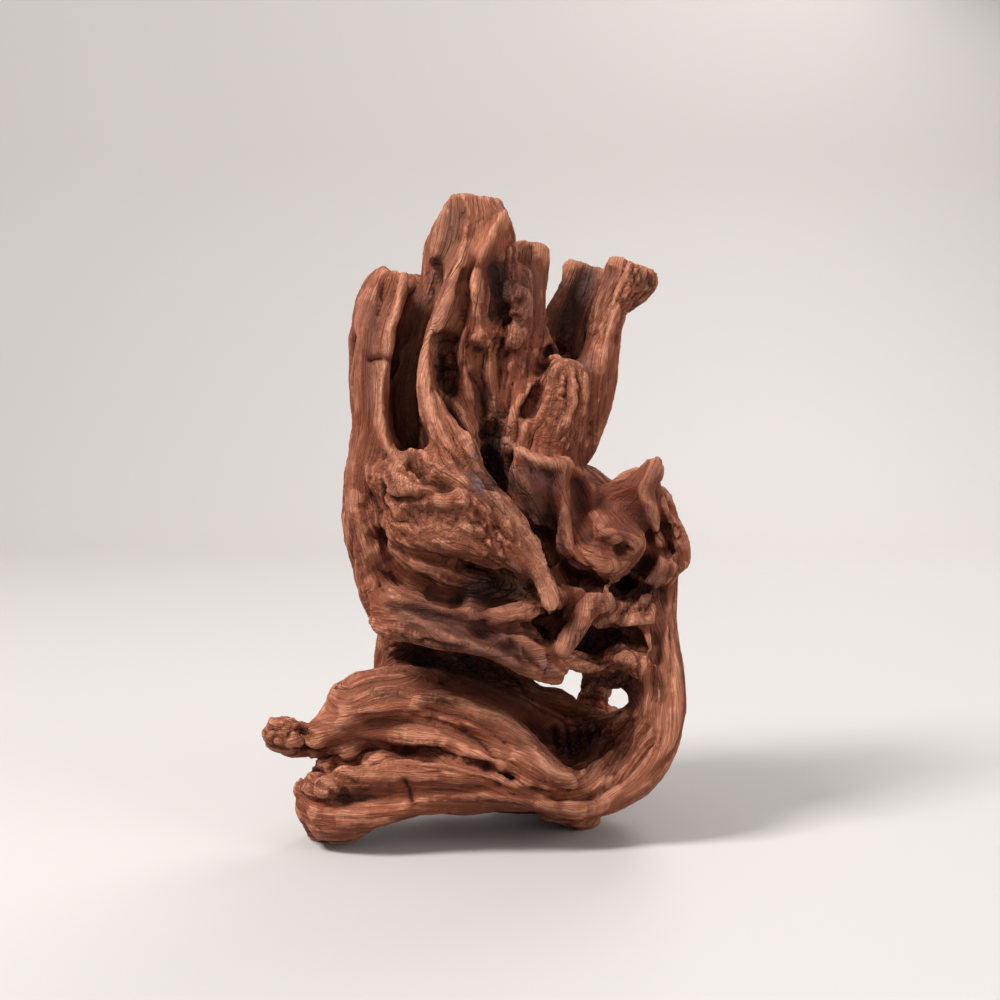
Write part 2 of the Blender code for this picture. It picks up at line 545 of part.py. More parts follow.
def spread(mesh, values, times):
    """Evens out a value over the mesh's vertices, along its edges."""
    edges = np.array([edge.vertices[:] for edge in mesh.edges])
    count = np.bincount(edges.ravel(), minlength=len(values))
    for _ in range(times):
        total = np.bincount(edges[:, 0], values[edges[:, 1]], len(values))
        total += np.bincount(edges[:, 1], values[edges[:, 0]], len(values))
        values = (values + total / count) / 2
    return values


def distance_to_line(x, z, line):
    """The distance in the plane from each x, z to a line of points."""
    best = np.full(len(x), np.inf)
    ends = line[1:] if len(line) > 1 else line
    for (ax, az), (bx, bz) in zip(line, ends):
        wx, wz = bx - ax, bz - az
        along = ((x - ax) * wx + (z - az) * wz) / max(wx * wx + wz * wz, 1e-9)
        along = np.clip(along, 0, 1)
        best = np.minimum(best, np.hypot(x - ax - along * wx, z - az - along * wz))
    return best


def draw_lines(wood, lines, eye, axis):
    """Raises the ridges and sinks the grooves that one side shows."""
    mesh = wood.data
    points = np.array([vert.co for vert in mesh.vertices])
    normals = np.array([vert.normal for vert in mesh.vertices])
    seen = spread(mesh, seen_from(eye, mesh, points, normals), SIGHT_SPREAD)
    looks = np.array(eye) + (points - eye) * (eye[axis] / (eye[axis] - points[:, axis]))[:, None]
    across, up = looks[:, 1 - axis], looks[:, 2]
    height = np.zeros(len(points))
    for depth, width, line in lines.values():
        height += depth * np.exp(-((distance_to_line(across, up, line) / width) ** 2))
    points += normals * (height * seen)[:, None]
    mesh.vertices.foreach_set("co", points.ravel())
    mesh.update()


def stand(wood):
    """Cuts the three feet level and centres the wood over the origin."""
    bm = bmesh.new()
    bm.from_mesh(wood.data)
    parts = bm.verts[:] + bm.edges[:] + bm.faces[:]
    cut = bmesh.ops.bisect_plane(bm, geom=parts, plane_co=(0, 0, 0), plane_no=(0, 0, 1),
                                 clear_inner=True, dist=0.001)
    edges = [part for part in cut["geom_cut"] if isinstance(part, bmesh.types.BMEdge)]
    bmesh.ops.holes_fill(bm, edges=edges)
    bmesh.ops.triangulate(bm, faces=bm.faces)
    for axis in (0, 1):
        places = [vert.co[axis] for vert in bm.verts]
        middle = (min(places) + max(places)) / 2
        for vert in bm.verts:
            vert.co[axis] -= middle
    bm.to_mesh(wood.data)
    bm.free()


def wood_material():
    """Dry, matt, red-brown wood."""
    material = bpy.data.materials.new("wood")
    material.use_nodes = True
    shader = material.node_tree.nodes["Principled BSDF"]
    shader.inputs["Base Color"].default_value = WOOD_COLOUR
    shader.inputs["Roughness"].default_value = WOOD_ROUGHNESS
    shader.inputs["Metallic"].default_value = 0.0
    return material


def main():
    for old in list(bpy.data.objects):
        bpy.data.objects.remove(old)
    wood = tubes("driftwood", LOG, TRUNK, FRONT)
    grown_together(wood)
    carve(wood, HOLLOWS)
    modified(wood, "SMOOTH", factor=SOFTENING, iterations=PASSES_BEFORE)
    for side in SIDES:
        draw_lines(wood, *side)
    modified(wood, "SMOOTH", factor=SOFTENING, iterations=PASSES_AFTER)
    share = MOST_TRIANGLES / (2 * len(wood.data.polygons))
    modified(wood, "DECIMATE", ratio=share, use_collapse_triangulate=True)
    stand(wood)
    wood.data.transform(Matrix.Scale(MILLIMETRE, 4))
    wood.data.shade_smooth()
    wood.data.materials.append(wood_material())


main()
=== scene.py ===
"""Aquarium driftwood: the finish of a weathered piece of red root wood, in a plain studio.

The main form is the given solid. Here the wood gets a finer skin: furrows and fibres drawn out
along the grain, the cracks, worn ridges and knots of each side, and a material for all of it.

The drawing lists are in millimetres, across and up, as the lines look from the eye of the side
that they are drawn on. That eye stands 474 mm from the middle of the wood and 134 mm up.
"""

import json
import math

import bmesh
import bpy
import numpy as np
from bpy.props import FloatProperty, FloatVectorProperty, IntProperty, PointerProperty
from bpy.types import Operator, Panel, PropertyGroup
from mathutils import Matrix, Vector
from mathutils.bvhtree import BVHTree
from mathutils.kdtree import KDTree

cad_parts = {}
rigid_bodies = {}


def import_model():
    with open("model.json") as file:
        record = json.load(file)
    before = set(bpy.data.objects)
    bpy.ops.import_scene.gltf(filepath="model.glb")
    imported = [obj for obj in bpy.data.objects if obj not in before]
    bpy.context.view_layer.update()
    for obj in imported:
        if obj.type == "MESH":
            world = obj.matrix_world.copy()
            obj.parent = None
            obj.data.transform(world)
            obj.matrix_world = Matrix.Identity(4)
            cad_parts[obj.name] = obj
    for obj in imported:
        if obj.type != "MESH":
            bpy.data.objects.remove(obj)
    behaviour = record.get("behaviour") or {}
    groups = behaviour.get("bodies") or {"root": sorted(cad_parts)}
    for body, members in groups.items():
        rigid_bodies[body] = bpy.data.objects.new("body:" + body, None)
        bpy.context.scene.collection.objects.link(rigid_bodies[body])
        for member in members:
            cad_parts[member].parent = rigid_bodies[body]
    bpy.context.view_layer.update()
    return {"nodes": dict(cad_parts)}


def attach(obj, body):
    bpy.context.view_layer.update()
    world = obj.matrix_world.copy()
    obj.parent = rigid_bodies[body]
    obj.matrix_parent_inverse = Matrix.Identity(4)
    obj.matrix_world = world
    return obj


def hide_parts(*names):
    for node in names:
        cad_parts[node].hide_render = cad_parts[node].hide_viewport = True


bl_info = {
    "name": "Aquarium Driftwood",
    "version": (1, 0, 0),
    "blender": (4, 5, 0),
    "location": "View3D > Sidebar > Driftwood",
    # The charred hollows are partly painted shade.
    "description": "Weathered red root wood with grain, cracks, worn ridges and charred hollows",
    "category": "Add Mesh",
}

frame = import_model()

MM = 0.001

# The point on the table that the drawing was made round, seen from the middle of the wood's
# box, and the eyes of the four sides, all in millimetres.
MIDDLE = np.array((0.26, 5.82, 0.0))
EYE_FAR = 474.0
EYE_UP = 134.0
EYE_ASIDE = 6.7

# The grain: lines that it runs along, on each side.
FRONT_GRAIN = [
    [(-48, 4), (-30, 5), (-10, 8), (10, 8), (28, 5), (42, 11), (51, 21), (55, 36), (55, 50), (54, 64)],
    [(-50, 12), (-35, 14), (-15, 15), (0, 14), (14, 11), (30, 9), (42, 16), (49, 29), (51, 45), (50, 58)],
    [(-46, 17), (-33, 21), (-20, 21), (-5, 19), (8, 15), (20, 10)],
    [(-60, 26), (-50, 25), (-40, 27), (-28, 29), (-15, 29), (-2, 26), (9, 20), (18, 15)],
    [(-38, 35), (-30, 40), (-20, 40), (-8, 38), (4, 34), (14, 27), (20, 18)],
    [(25, 14), (33, 17), (38, 25), (44, 31), (47, 38)],
    [(-22, 46), (-10, 46), (4, 42), (16, 35), (28, 30), (40, 31)],
    [(-27, 50), (-18, 56)],
    [(-26, 60), (-14, 61), (0, 56), (12, 51), (22, 45)],
    [(-25, 76), (-16, 68), (-5, 64), (6, 61)],
    [(-34, 88), (-31, 80), (-27, 70), (-24, 62)],
    [(-35, 84), (-28, 76)],
    [(-35, 112), (-35, 100), (-33, 90), (-28, 82), (-20, 73), (-10, 68)],
    [(-34, 135), (-33.5, 120), (-31, 104), (-26, 95), (-16, 93), (-6, 94), (2, 92), (10, 84), (17, 75)],
    [(-28, 100), (-22, 90), (-12, 84), (0, 80), (8, 76), (16, 70), (21, 63)],
    [(-24, 84), (-14, 76), (-4, 72), (4, 72)],
    [(-14, 104), (-6, 98), (2, 95)],
    [(-30, 150), (-31, 138), (-30, 124), (-29, 110)],
    [(-24, 155), (-26, 146), (-27, 136), (-28, 122), (-27, 108)],
    [(-14, 152), (-18, 140), (-21, 128), (-21, 114), (-18, 105)],
    [(-8, 172), (-9, 160), (-12, 146), (-16, 134), (-18, 120), (-16, 108)],
    [(0, 176), (0, 168), (-1, 158), (-4, 148), (-8, 138), (-11, 128), (-11, 116), (-7, 108), (-1, 100)],
    [(6, 176), (5, 166), (2, 157), (0, 146), (-2, 134), (0, 120), (2, 108)],
    [(10, 168), (9, 156), (9, 144), (7, 132), (6, 118), (5, 104)],
    [(15, 164), (15, 150), (14, 138), (12, 126), (10, 114)],
    [(29, 158), (26, 148), (21, 138)],
    [(45, 156), (41, 150), (37, 142), (34, 130), (31, 118), (27, 106)],
    [(40, 157), (36, 148), (33, 138), (29, 126), (24, 114), (20, 106)],
    [(24, 132), (22, 122), (18, 112), (14, 106)],
    [(12, 106), (13, 98), (16, 90)],
    [(24, 103), (24, 92), (24, 80), (27, 76)],
    [(17, 102), (19, 94), (19, 84), (18, 75)],
    [(28, 102), (29, 94), (31, 86), (35, 78), (40, 72)],
    [(50, 102), (46, 96), (38, 93), (33, 88), (30, 82)],
    [(44, 92), (44, 84), (40, 76), (33, 73)],
    [(51, 97), (51, 90), (53, 83), (56, 76), (52, 71), (46, 64)],
    [(55, 90), (57, 82), (58, 76)],
    [(36, 66), (31, 61), (27, 55), (22, 49)],
    [(2, 58), (9, 60), (17, 63)],
    [(33, 57), (42, 58), (50, 56)],
    [(26, 48), (32, 45), (38, 48), (44, 50), (48, 46), (48, 38)],
]
BACK_GRAIN = [
    [(-18, 152), (-20, 130), (-18, 105), (-20, 80), (-17, 58), (-15, 38), (-12, 26)],
    [(-28, 140), (-32, 115), (-30, 92), (-30, 70), (-26, 56), (-24, 40), (-20, 28)],
    [(-4, 150), (-3, 128), (-6, 104), (-6, 80), (-4, 58), (-3, 40), (2, 26)],
    [(12, 150), (9, 128), (5, 104), (0, 88), (2, 76), (6, 58), (8, 40), (14, 26)],
    [(18, 130), (16, 108), (15, 90), (14, 78), (16, 60), (20, 40)],
    [(38, 155), (30, 138), (24, 118), (22, 100), (25, 80), (30, 60), (34, 40), (36, 10)],
    [(46, 152), (38, 130), (30, 108), (28, 92)],
    [(44, 66), (50, 50), (51, 34), (46, 22), (34, 14)],
    [(-46, 16), (-30, 16), (-14, 18), (4, 18), (20, 14), (34, 10)],
    [(-56, 26), (-44, 28), (-30, 34), (-18, 36)],
]
LEFT_GRAIN = [
    [(-14, 152), (-14, 130), (-17, 108), (-20, 88), (-19, 70), (-14, 60)],
    [(-3, 156), (-4, 130), (-5, 106), (-6, 84), (-4, 66)],
    [(8, 150), (12, 126), (14, 100), (14, 80), (13, 60), (14, 40), (10, 24)],
    [(20, 130), (25, 105), (26, 80), (24, 58), (24, 40), (20, 24)],
    [(-24, 26), (-18, 30), (-8, 34), (4, 36)],
    [(-24, 8), (-12, 12), (2, 14), (12, 16)],
    [(34, 60), (36, 40), (38, 12)],
]
RIGHT_GRAIN = [
    [(-10, 100), (-9, 86), (-9, 70), (-9, 54), (-11, 38), (-14, 24), (-18, 12)],
    [(2, 96), (3, 80), (3, 62), (3, 46), (1, 30), (-4, 16)],
    [(6, 156), (5, 138), (2, 120), (0, 106)],
    [(22, 150), (20, 128), (20, 108), (24, 88), (30, 68), (34, 48), (37, 24), (38, 6)],
    [(12, 120), (12, 100), (14, 84), (12, 66)],
    [(14, 24), (22, 16), (32, 8)],
]

# Cracks and ridges: height in millimetres (a crack is negative), half-width, and the line.
FRONT_LINES = {
    "crease under the band": (-1.4, 1.0, [
        (-22, 21.4), (-12, 20.8), (-5, 18.8), (2, 17)]),
    "thin end of the crease": (-0.6, 0.6, [(2, 17), (10, 13.8), (18, 9.6)]),
    "filled end of the crease": (1.1, 1.9, [(6, 15.6), (10, 14), (14, 12)]),
    "thin crease under the band": (-0.9, 0.5, [
        (-47, 18.6), (-40, 19.6), (-36, 18.8), (-33, 21.2), (-28, 22.2), (-22, 21.4)]),
    "filled crease": (0.9, 1.8, [(-46, 18.2), (-40, 19.2), (-34, 20.4), (-27, 21.8)]),
    "lip over the crease": (0.9, 1.2, [
        (-46, 20.4), (-40, 21.8), (-36, 21.4), (-32, 23.6), (-26, 24.2), (-18, 23.4), (-10, 22.6)]),
    "rim of the trough": (0.9, 1.0, [
        (-17, 35), (-10, 36), (-5, 35), (0, 32.5), (5, 31), (10, 28), (15, 23), (18, 19),
        (21, 15.5), (25, 13.6), (29, 14), (34, 17.5), (37, 22), (39, 27), (44, 31.5)]),
    "crack under the lobe": (-1.6, 1.0, [
        (-26.6, 72.6), (-22, 70.4), (-18, 68.4), (-15, 68), (-12, 66), (-8, 64.6), (-5, 64.4)]),
    "filled side of the lobe": (1.1, 1.9, [(-28.6, 84), (-27.6, 78)]),
    "edge of the tip": (0.9, 0.7, [(16.8, 72), (18, 67.6), (19.6, 63.6), (21, 60.6)]),
    "side of the tip": (-1.5, 1.5, [(15.2, 69), (16.6, 65), (18, 61.6)]),
    "face of the tip": (-0.7, 0.9, [(19, 71), (20.4, 67), (21.8, 63.4)]),
    "crack over the lobe": (-1.7, 0.9, [
        (-18.6, 104), (-17.5, 102.6), (-15.5, 101.4), (-14, 99), (-11, 98.2), (-8, 97)]),
    "rim of the left wall": (0.7, 0.9, [
        (-20, 156), (-21, 150), (-22, 145), (-24.5, 140), (-25, 133), (-26.5, 125), (-27, 118),
        (-26, 110), (-24, 106), (-20, 103.5)]),
    "cross crack": (-1.8, 0.8, [(-29.5, 132.3), (-27, 133), (-25, 132.4), (-23, 131)]),
    "crack beside the bulge": (-2.2, 0.6, [(22, 134), (19, 131), (17, 126), (15.5, 120), (14, 118)]),
    "edge of the flap": (0.8, 0.9, [
        (-12, 124), (-9, 121.5), (-5, 117.5), (-3, 114), (-1.5, 110), (-1, 106), (0, 101.5)]),
    "rim of the lobe": (0.8, 1.1, [
        (0, 101.5), (3, 98), (5, 95), (10, 88.5), (14, 84.5), (17, 81), (18.5, 77), (19.5, 72),
        (21.5, 67), (22, 62)]),
    "top of the panel": (0.9, 0.9, [
        (9, 109), (11, 107.3), (14, 105.3), (18, 103.5), (24, 102.8), (27, 102.4), (30, 100)]),
    "fold of the wing": (0.5, 0.6, [(24, 102), (24.5, 95), (24, 86), (24, 78)]),
    "crest of the horn": (0.9, 0.9, [
        (50.5, 103), (48, 98), (47, 96), (47.5, 93.5), (49, 91), (49.2, 88), (51, 84), (52, 80)]),
    "floor of the eye": (0.9, 1.5, [(40.6, 79.4), (42, 78.6)]),
    "slit of the eye": (-1.2, 0.4, [(39.8, 79.2), (41.6, 79.6), (43, 78.8)]),
    "first slit of the cut end": (-1.1, 0.5, [(44, 158), (44.8, 153.6)]),
    "second slit of the cut end": (-1.1, 0.5, [(46.2, 157.6), (47, 153)]),
    "third slit of the cut end": (-1.0, 0.5, [(48.4, 156.6), (49, 152.4)]),
    "lid of the eye": (-0.5, 0.5, [(36, 80.4), (38.6, 82.2), (42, 82), (44.8, 80)]),
    "brow": (-0.45, 0.5, [(34.5, 83.4), (37, 84.4), (41, 84.4), (44.4, 82.8)]),
    "under the eye": (-0.5, 0.5, [(36.4, 78.4), (39, 76.2), (43, 75.6)]),
    "edge of the cheek": (-1.8, 1.0, [
        (24, 76), (26, 74), (30, 72), (33, 69.8), (37, 68.8), (41, 69.6), (44, 71.6), (47, 75)]),
    "lip of the shelf": (0.9, 0.9, [(33, 58), (37, 57.7), (40, 58.5), (45, 58.7), (49, 58.7)]),
    "lip of the bridge": (0.8, 0.9, [(25, 47.6), (28, 46.4), (31, 45.6), (35, 45)]),
    "small hole of the branch": (-1.6, 0.8, [(32.2, 114.4)]),
    "second hole of the branch": (-1.6, 0.8, [(31.8, 111.6)]),
    "pit of the lobe": (-1.4, 1.1, [(-29.5, 93.5), (-29, 91.5)]),
    "second pit of the lobe": (-1.8, 1.0, [(-26, 89)]),
    "knob of the lobe": (0.9, 1.3, [(-9.5, 102.4), (-7.5, 103.6)]),
    "end hole of the short root": (-2, 1.1, [(2.2, 58)]),
    "hole in the cut end": (-2, 1.1, [(46.2, 151.8)]),
    "groove of the branch": (-1.1, 0.8, [(39.5, 156), (37, 148), (36.4, 141), (35.4, 136)]),
    "second groove of the branch": (-0.9, 0.7, [(37.8, 157), (35.6, 150), (34.6, 143)]),
    "edge of the gutter": (0.8, 0.8, [(36.6, 158), (35, 152), (33.6, 146), (32.4, 140)]),
    "arch of the spire": (0.9, 0.8, [(8, 171), (5, 166.5), (2.4, 162), (0.6, 158), (0, 150), (0, 144)]),
    "facet of the spire": (0.8, 0.8, [(-3.6, 176), (-2.4, 171), (-4, 166), (-4.6, 160), (-6, 154)]),
    "groove of the ridge": (-1.1, 0.7, [(-3, 156), (-5.4, 148), (-7.6, 142)]),
    "second groove of the ridge": (-0.9, 0.6, [(-1.6, 150), (-3.6, 144), (-4.8, 138)]),
    "upper eye": (-1.8, 0.9, [(9.4, 146.4)]),
    "lower eye": (-1.7, 0.9, [(9.6, 142)]),
    "knob by the eyes": (1.1, 1.2, [(11.6, 144.2)]),
    "second knob by the eyes": (1.0, 1.2, [(9.4, 139.4)]),
    "slit of the bark": (-1.8, 0.7, [(-9.4, 135), (-9, 130), (-9.8, 126)]),
    "second slit of the bark": (-1.6, 0.6, [(-7, 134), (-6.6, 128.6), (-7.8, 123.6)]),
    "third slit of the bark": (-1.4, 0.6, [(-10.6, 129.4), (-6.6, 128)]),
    "slit of the face": (-1.5, 0.7, [(2, 133), (1.2, 128), (2.2, 123)]),
    "second slit of the face": (-1.2, 0.7, [(-1, 128), (1, 122), (2, 116)]),
    "third slit of the face": (-1.2, 0.7, [(8.5, 128), (7.6, 121), (8.6, 115)]),
    "slit of the curl": (-1.4, 0.8, [(50, 57), (52, 52), (52.6, 46), (52, 40)]),
    "second slit of the curl": (-1.3, 0.7, [(49.4, 52), (50.8, 46), (50, 40), (50.6, 35)]),
    "third slit of the curl": (-1.1, 0.7, [(54.6, 60), (55.4, 52), (55, 44)]),
    "furrow of the shelf": (-1.6, 0.8, [(38, 57), (44, 55), (48, 50.6), (51, 48)]),
    "slit of the log": (-1.2, 0.8, [(-20, 17.6), (-10, 16.6), (0, 13.6), (6, 11)]),
    "second slit of the log": (-0.9, 0.7, [(2, 22), (8, 19), (13, 15.6), (19, 11.6), (26, 9.6)]),
    "third slit of the log": (-1.1, 0.7, [(-14, 33), (-6, 31.6), (2, 28), (8, 23.6)]),
    "fourth slit of the log": (-1.2, 0.7, [(-18, 30.4), (-9, 28.4), (-1, 25), (5, 20.8)]),
    "notch of the log": (-1.4, 1.0, [(-21, 12), (-19.6, 9), (-18, 5.6)]),
    "crack in the end": (-1.8, 0.8, [(-46.6, 16.2), (-43.6, 15.2), (-40.4, 14.6)]),
    "knob in the end": (1.1, 1.4, [(-42.6, 11)]),
    "neck of the prong": (-1.2, 0.9, [(-49.6, 30.4), (-48.8, 26)]),
    "seam of the prong": (-1.0, 0.7, [(-60, 25), (-57.6, 28), (-54, 29.8)]),
    "slit of the slab": (-1.2, 0.8, [(1, 53.4), (5.6, 52), (9.6, 49.6)]),
    "second slit of the slab": (-1.2, 0.9, [(9.4, 52.6), (11.4, 48.6), (13, 45.6)]),
    "third slit of the slab": (-1.4, 0.9, [(20.4, 48.6), (20.8, 45), (19.4, 41.6)]),
    "plate in the trough": (-1.6, 0.7, [(22.4, 27), (22.8, 21.6)]),
    "second plate in the trough": (-1.6, 0.7, [(26, 28.6), (26.8, 21)]),
    "third plate in the trough": (-1.5, 0.6, [(29, 29.4), (29.8, 22.6)]),
    "fourth plate in the trough": (-1.5, 0.6, [(31.4, 30), (32.4, 24)]),
    "fifth plate in the trough": (-1.4, 0.6, [(33.8, 30.6), (35, 26)]),
}
BACK_LINES = {
    "left crack": (-1.6, 0.9, [(-17, 146), (-18.6, 128), (-16.4, 108), (-18, 90), (-17.4, 74)]),
    "middle crack": (-1.7, 0.9, [(1, 142), (2.6, 126), (0, 108), (-2, 96)]),
    "lower crack": (-1.5, 0.9, [(-3, 74), (0, 60), (-1, 44), (3, 30)]),
    "right crack": (-1.4, 0.8, [(19, 136), (15, 118), (14, 102), (17, 88)]),
    "knot hole": (-2.4, 1.8, [(6.4, 88), (7, 82)]),
    "knot rim": (1.0, 1.0, [
        (4, 95), (0.6, 90), (0.6, 80), (4, 75.5), (10, 75.5), (12.6, 81), (12, 90), (9, 95), (4, 95)]),
    "slit by the edge": (-1.2, 0.8, [(-27, 128), (-29, 112), (-27, 96)]),
    "slit of the root": (-1.2, 0.8, [(31, 60), (33.6, 44), (35, 24), (36.6, 10)]),
    "slit of the branch": (-1.1, 0.7, [(33, 150), (28, 138), (25.6, 124)]),
}
LEFT_LINES = {
    "front crack": (-1.4, 0.9, [(-14, 134), (-15.4, 114), (-19, 98), (-21.6, 82)]),
    "back crack": (-1.4, 0.9, [(-3, 140), (-3.4, 120), (-5, 100), (-6, 84)]),
    "strand crack": (-1.3, 0.8, [(16, 128), (19, 108), (19, 90), (18, 70)]),
    "end crack": (-1.6, 0.8, [(-26, 17), (-22, 11), (-17, 6)]),
}
RIGHT_LINES = {
    "front crack": (-1.4, 0.9, [(-10.6, 82), (-8.4, 68), (-9.4, 54), (-11, 38), (-14, 24)]),
    "back crack": (-1.4, 0.9, [(5, 80), (4, 66), (5, 52), (3.6, 36)]),
    "branch crack": (-1.2, 0.8, [(7, 146), (4.4, 134), (1.6, 120)]),
    "trunk crack": (-1.4, 0.9, [(24, 120), (24.4, 104), (27, 86), (31, 66)]),
}

# Where the front is charred and cracked like bark, and in its hollows and caves partly painted shade:
# strength, half-width and the line.
CHARRED_AND_SHADE = {
    "bark pocket": (0.7, 3.2, [(-8.4, 136), (-8.6, 129), (-8, 122.5)]),
    "patch under the arch": (1.0, 3.8, [(6, 156), (6.6, 151), (6.4, 145)]),
    "bark in the middle": (1.0, 5.2, [(5, 111), (4.4, 104), (6, 98)]),
    "under the bark": (0.4, 4.0, [(2, 120), (4, 114)]),
    "valley by the lobe": (0.8, 3.0, [(10.5, 98), (14.6, 92.4), (18.6, 85)]),
    "floor of the channel": (0.3, 2.6, [(-13, 147), (-18, 136), (-19.4, 124), (-19, 112), (-18, 106)]),
    "floor of the gutter": (0.8, 4.4, [(31, 152), (27, 145), (24, 140)]),
    # Partly painted shade: from here to the hollow of the wing the char darkens hollows, slots and caves.
    "hollow of the lobe": (1.0, 5.0, [(0, 67), (6, 67.6), (12, 68)]),
    "recess of the slot": (0.85, 4.0, [(-20, 49), (-4, 46.6), (10, 41)]),
    "pocket of the trough": (0.9, 4.4, [(23, 22), (28, 23), (33, 27)]),
    "cave of the shelf": (0.8, 4.0, [(30, 53), (35, 53), (39, 54.6)]),
    "cave of the cheek": (0.6, 3.6, [(39, 66.4), (45, 66.6), (50, 68)]),
    "behind the bridge": (0.9, 4.0, [(31, 41.6), (36, 40.6), (42, 40)]),
    "hollow of the wing": (0.6, 3.4, [(20.4, 87), (22.4, 79)]),
    "side of the wing": (0.5, 2.6, [(46.6, 87.6)]),
    "blotch by the crack": (0.5, 2.2, [(20.4, 128.6)]),
    "second blotch": (0.45, 2.0, [(13.4, 130)]),
    "foot of the log": (0.5, 2.8, [(-37, 8), (-33, 9)]),
    "mark on the band": (0.4, 1.6, [(-30, 38), (-22, 37)]),
    "second mark on the band": (0.5, 1.3, [(-14, 36.4), (-5, 35)]),
}

# Where the front is worn pale and orange; in the channel this is painted light, and on the curl partly
# so.
PALE = {
    "rim of the trough": (0.9, 1.8, [
        (-5, 34.6), (0, 32.3), (5, 30.8), (10, 28), (15, 23), (18, 19), (21, 15.5), (26, 13.6)]),
    "middle ridge": (0.9, 2.4, [
        (0, 171), (-1, 164), (-3, 156), (-6, 148), (-9.6, 140), (-12, 134), (-13.4, 126), (-13.4, 118),
        (-11, 112), (-7, 107)]),
    "face of the spire": (0.35, 4.4, [(3, 174), (2, 166)]),
    "rim of the lobe": (1.0, 2.2, [
        (1, 99.5), (5, 94), (10, 87.5), (14, 83), (17, 78.5), (18.4, 72), (20.6, 66), (21.6, 62)]),
    "front of the lobe": (0.45, 7.0, [(-17, 90), (-4, 84)]),
    "tip of the lobe": (1.0, 2.0, [(19, 68), (21, 63.4)]),
    "crown of the lobe": (0.5, 5.0, [(-12, 102), (-4, 99)]),
    "rim of the left wall": (0.55, 1.4, [
        (-21, 150), (-24, 141), (-25, 133), (-26.6, 124), (-26.6, 114), (-24, 107), (-19, 103.6)]),
    # Painted light: these two paint the channel's walls pale where they lie in deep shade.
    "wall of the channel": (1.0, 3.6, [(-14, 147), (-17.4, 134), (-18.4, 122), (-17, 110)]),
    "inside of the left wall": (0.9, 2.6, [(-19, 146), (-21.6, 136), (-23, 126)]),
    "horn of the wing": (0.2, 1.5, [(50.4, 102), (47.6, 97), (47.6, 93.4), (49.4, 89), (51.4, 83)]),
    "top of the panel": (0.6, 1.0, [(9.4, 108), (13, 105.6), (18, 103.4), (25, 102.6)]),
    "fold of the wing": (0.4, 1.6, [(24.2, 101), (24.4, 92)]),
    "stick": (0.5, 2.0, [(33, 63), (28, 57), (23.6, 50)]),
    "end of the stick": (0.8, 1.8, [(24, 50.4)]),
    "bridge": (0.6, 1.8, [(26, 47.4), (31, 45.6), (35, 44.8)]),
    "knuckle": (0.5, 3.0, [(39, 49), (43, 47.4)]),
    "lip of the shelf": (0.6, 1.2, [(33, 58), (40, 58.6), (48, 58.8)]),
    "lumps under the wing": (0.5, 2.4, [(44, 62), (49, 64)]),
    # Partly painted light: the curl is painted paler where the light falls on it.
    "curl of the log": (0.6, 6.5, [(36, 12), (45, 20), (51, 32), (54, 46), (54, 58)]),
    "knob in the end": (0.9, 1.8, [(-42.4, 11)]),
    "band of the log": (0.3, 6.0, [(-40, 27), (-28, 30), (-14, 29)]),
    "point of the right foot": (0.6, 1.6, [(30, 2)]),
    "bulge of the branch": (0.3, 5.0, [(24, 128), (25, 120), (27, 112)]),
    "front of the branch": (0.35, 2.6, [(38, 150), (36, 140), (34, 130)]),
    "cheek's lower edge": (0.4, 1.4, [(28, 74.6), (34, 71.6), (40, 71.4)]),
}

# Thin, bright worn edges of rims.
WORN_EDGES = {
    "rim of the left wall": (0.7, 0.7, [
        (-18, 156.6), (-20.4, 155), (-21, 150), (-22, 145), (-24.5, 140), (-25, 133), (-26.5, 125),
        (-27, 118), (-26, 110), (-24, 106), (-20, 103.5)]),
    "left of the rib": (0.56, 0.7, [
        (-3.6, 162), (-6.6, 152), (-10, 144), (-13.2, 136), (-14.6, 128), (-14.4, 120), (-12.6, 113)]),
    "flap": (0.56, 0.7, [(-9, 121.5), (-5, 117.5), (-2.6, 112), (-1, 106), (0, 101.5)]),
    "tip of the lobe": (0.7, 0.6, [(18, 68.6), (19.4, 64.4), (20.8, 61.2)]),
    "rim of the lobe": (0.63, 0.8, [
        (3, 98), (5.6, 94.6), (10.4, 88.5), (14.4, 84), (17.6, 79.6), (19, 75), (20.2, 69), (22, 63)]),
    "rim of the trough": (0.7, 0.8, [
        (-5, 35), (0, 32.6), (5, 31), (10, 28), (15, 23), (18, 19), (21, 15.5), (25, 13.6)]),
    "top of the panel": (0.63, 0.7, [(9, 109), (11, 107.3), (14, 105.3), (18, 103.5), (24, 102.8)]),
    "horn": (0.24, 0.8, [(50.5, 103), (48, 98), (47, 96), (47.5, 93.5), (49, 91), (51, 84)]),
    "branch": (0.49, 0.8, [(43, 158), (40, 156), (38, 148), (37, 141), (35.6, 134)]),
    "shelf": (0.56, 0.7, [(33, 58), (37, 57.7), (40, 58.5), (45, 58.7), (49, 58.7)]),
    "bridge": (0.49, 0.8, [(25, 47.6), (28, 46.4), (31, 45.6), (35, 45)]),
    "slab": (0.35, 0.8, [(-26, 62), (-20, 60.6), (-10, 55), (0, 51), (8, 48), (16, 44)]),
    "crease": (0.42, 0.8, [(-40, 21.8), (-36, 21.4), (-32, 23.6), (-26, 24.2), (-18, 23.4)]),
}

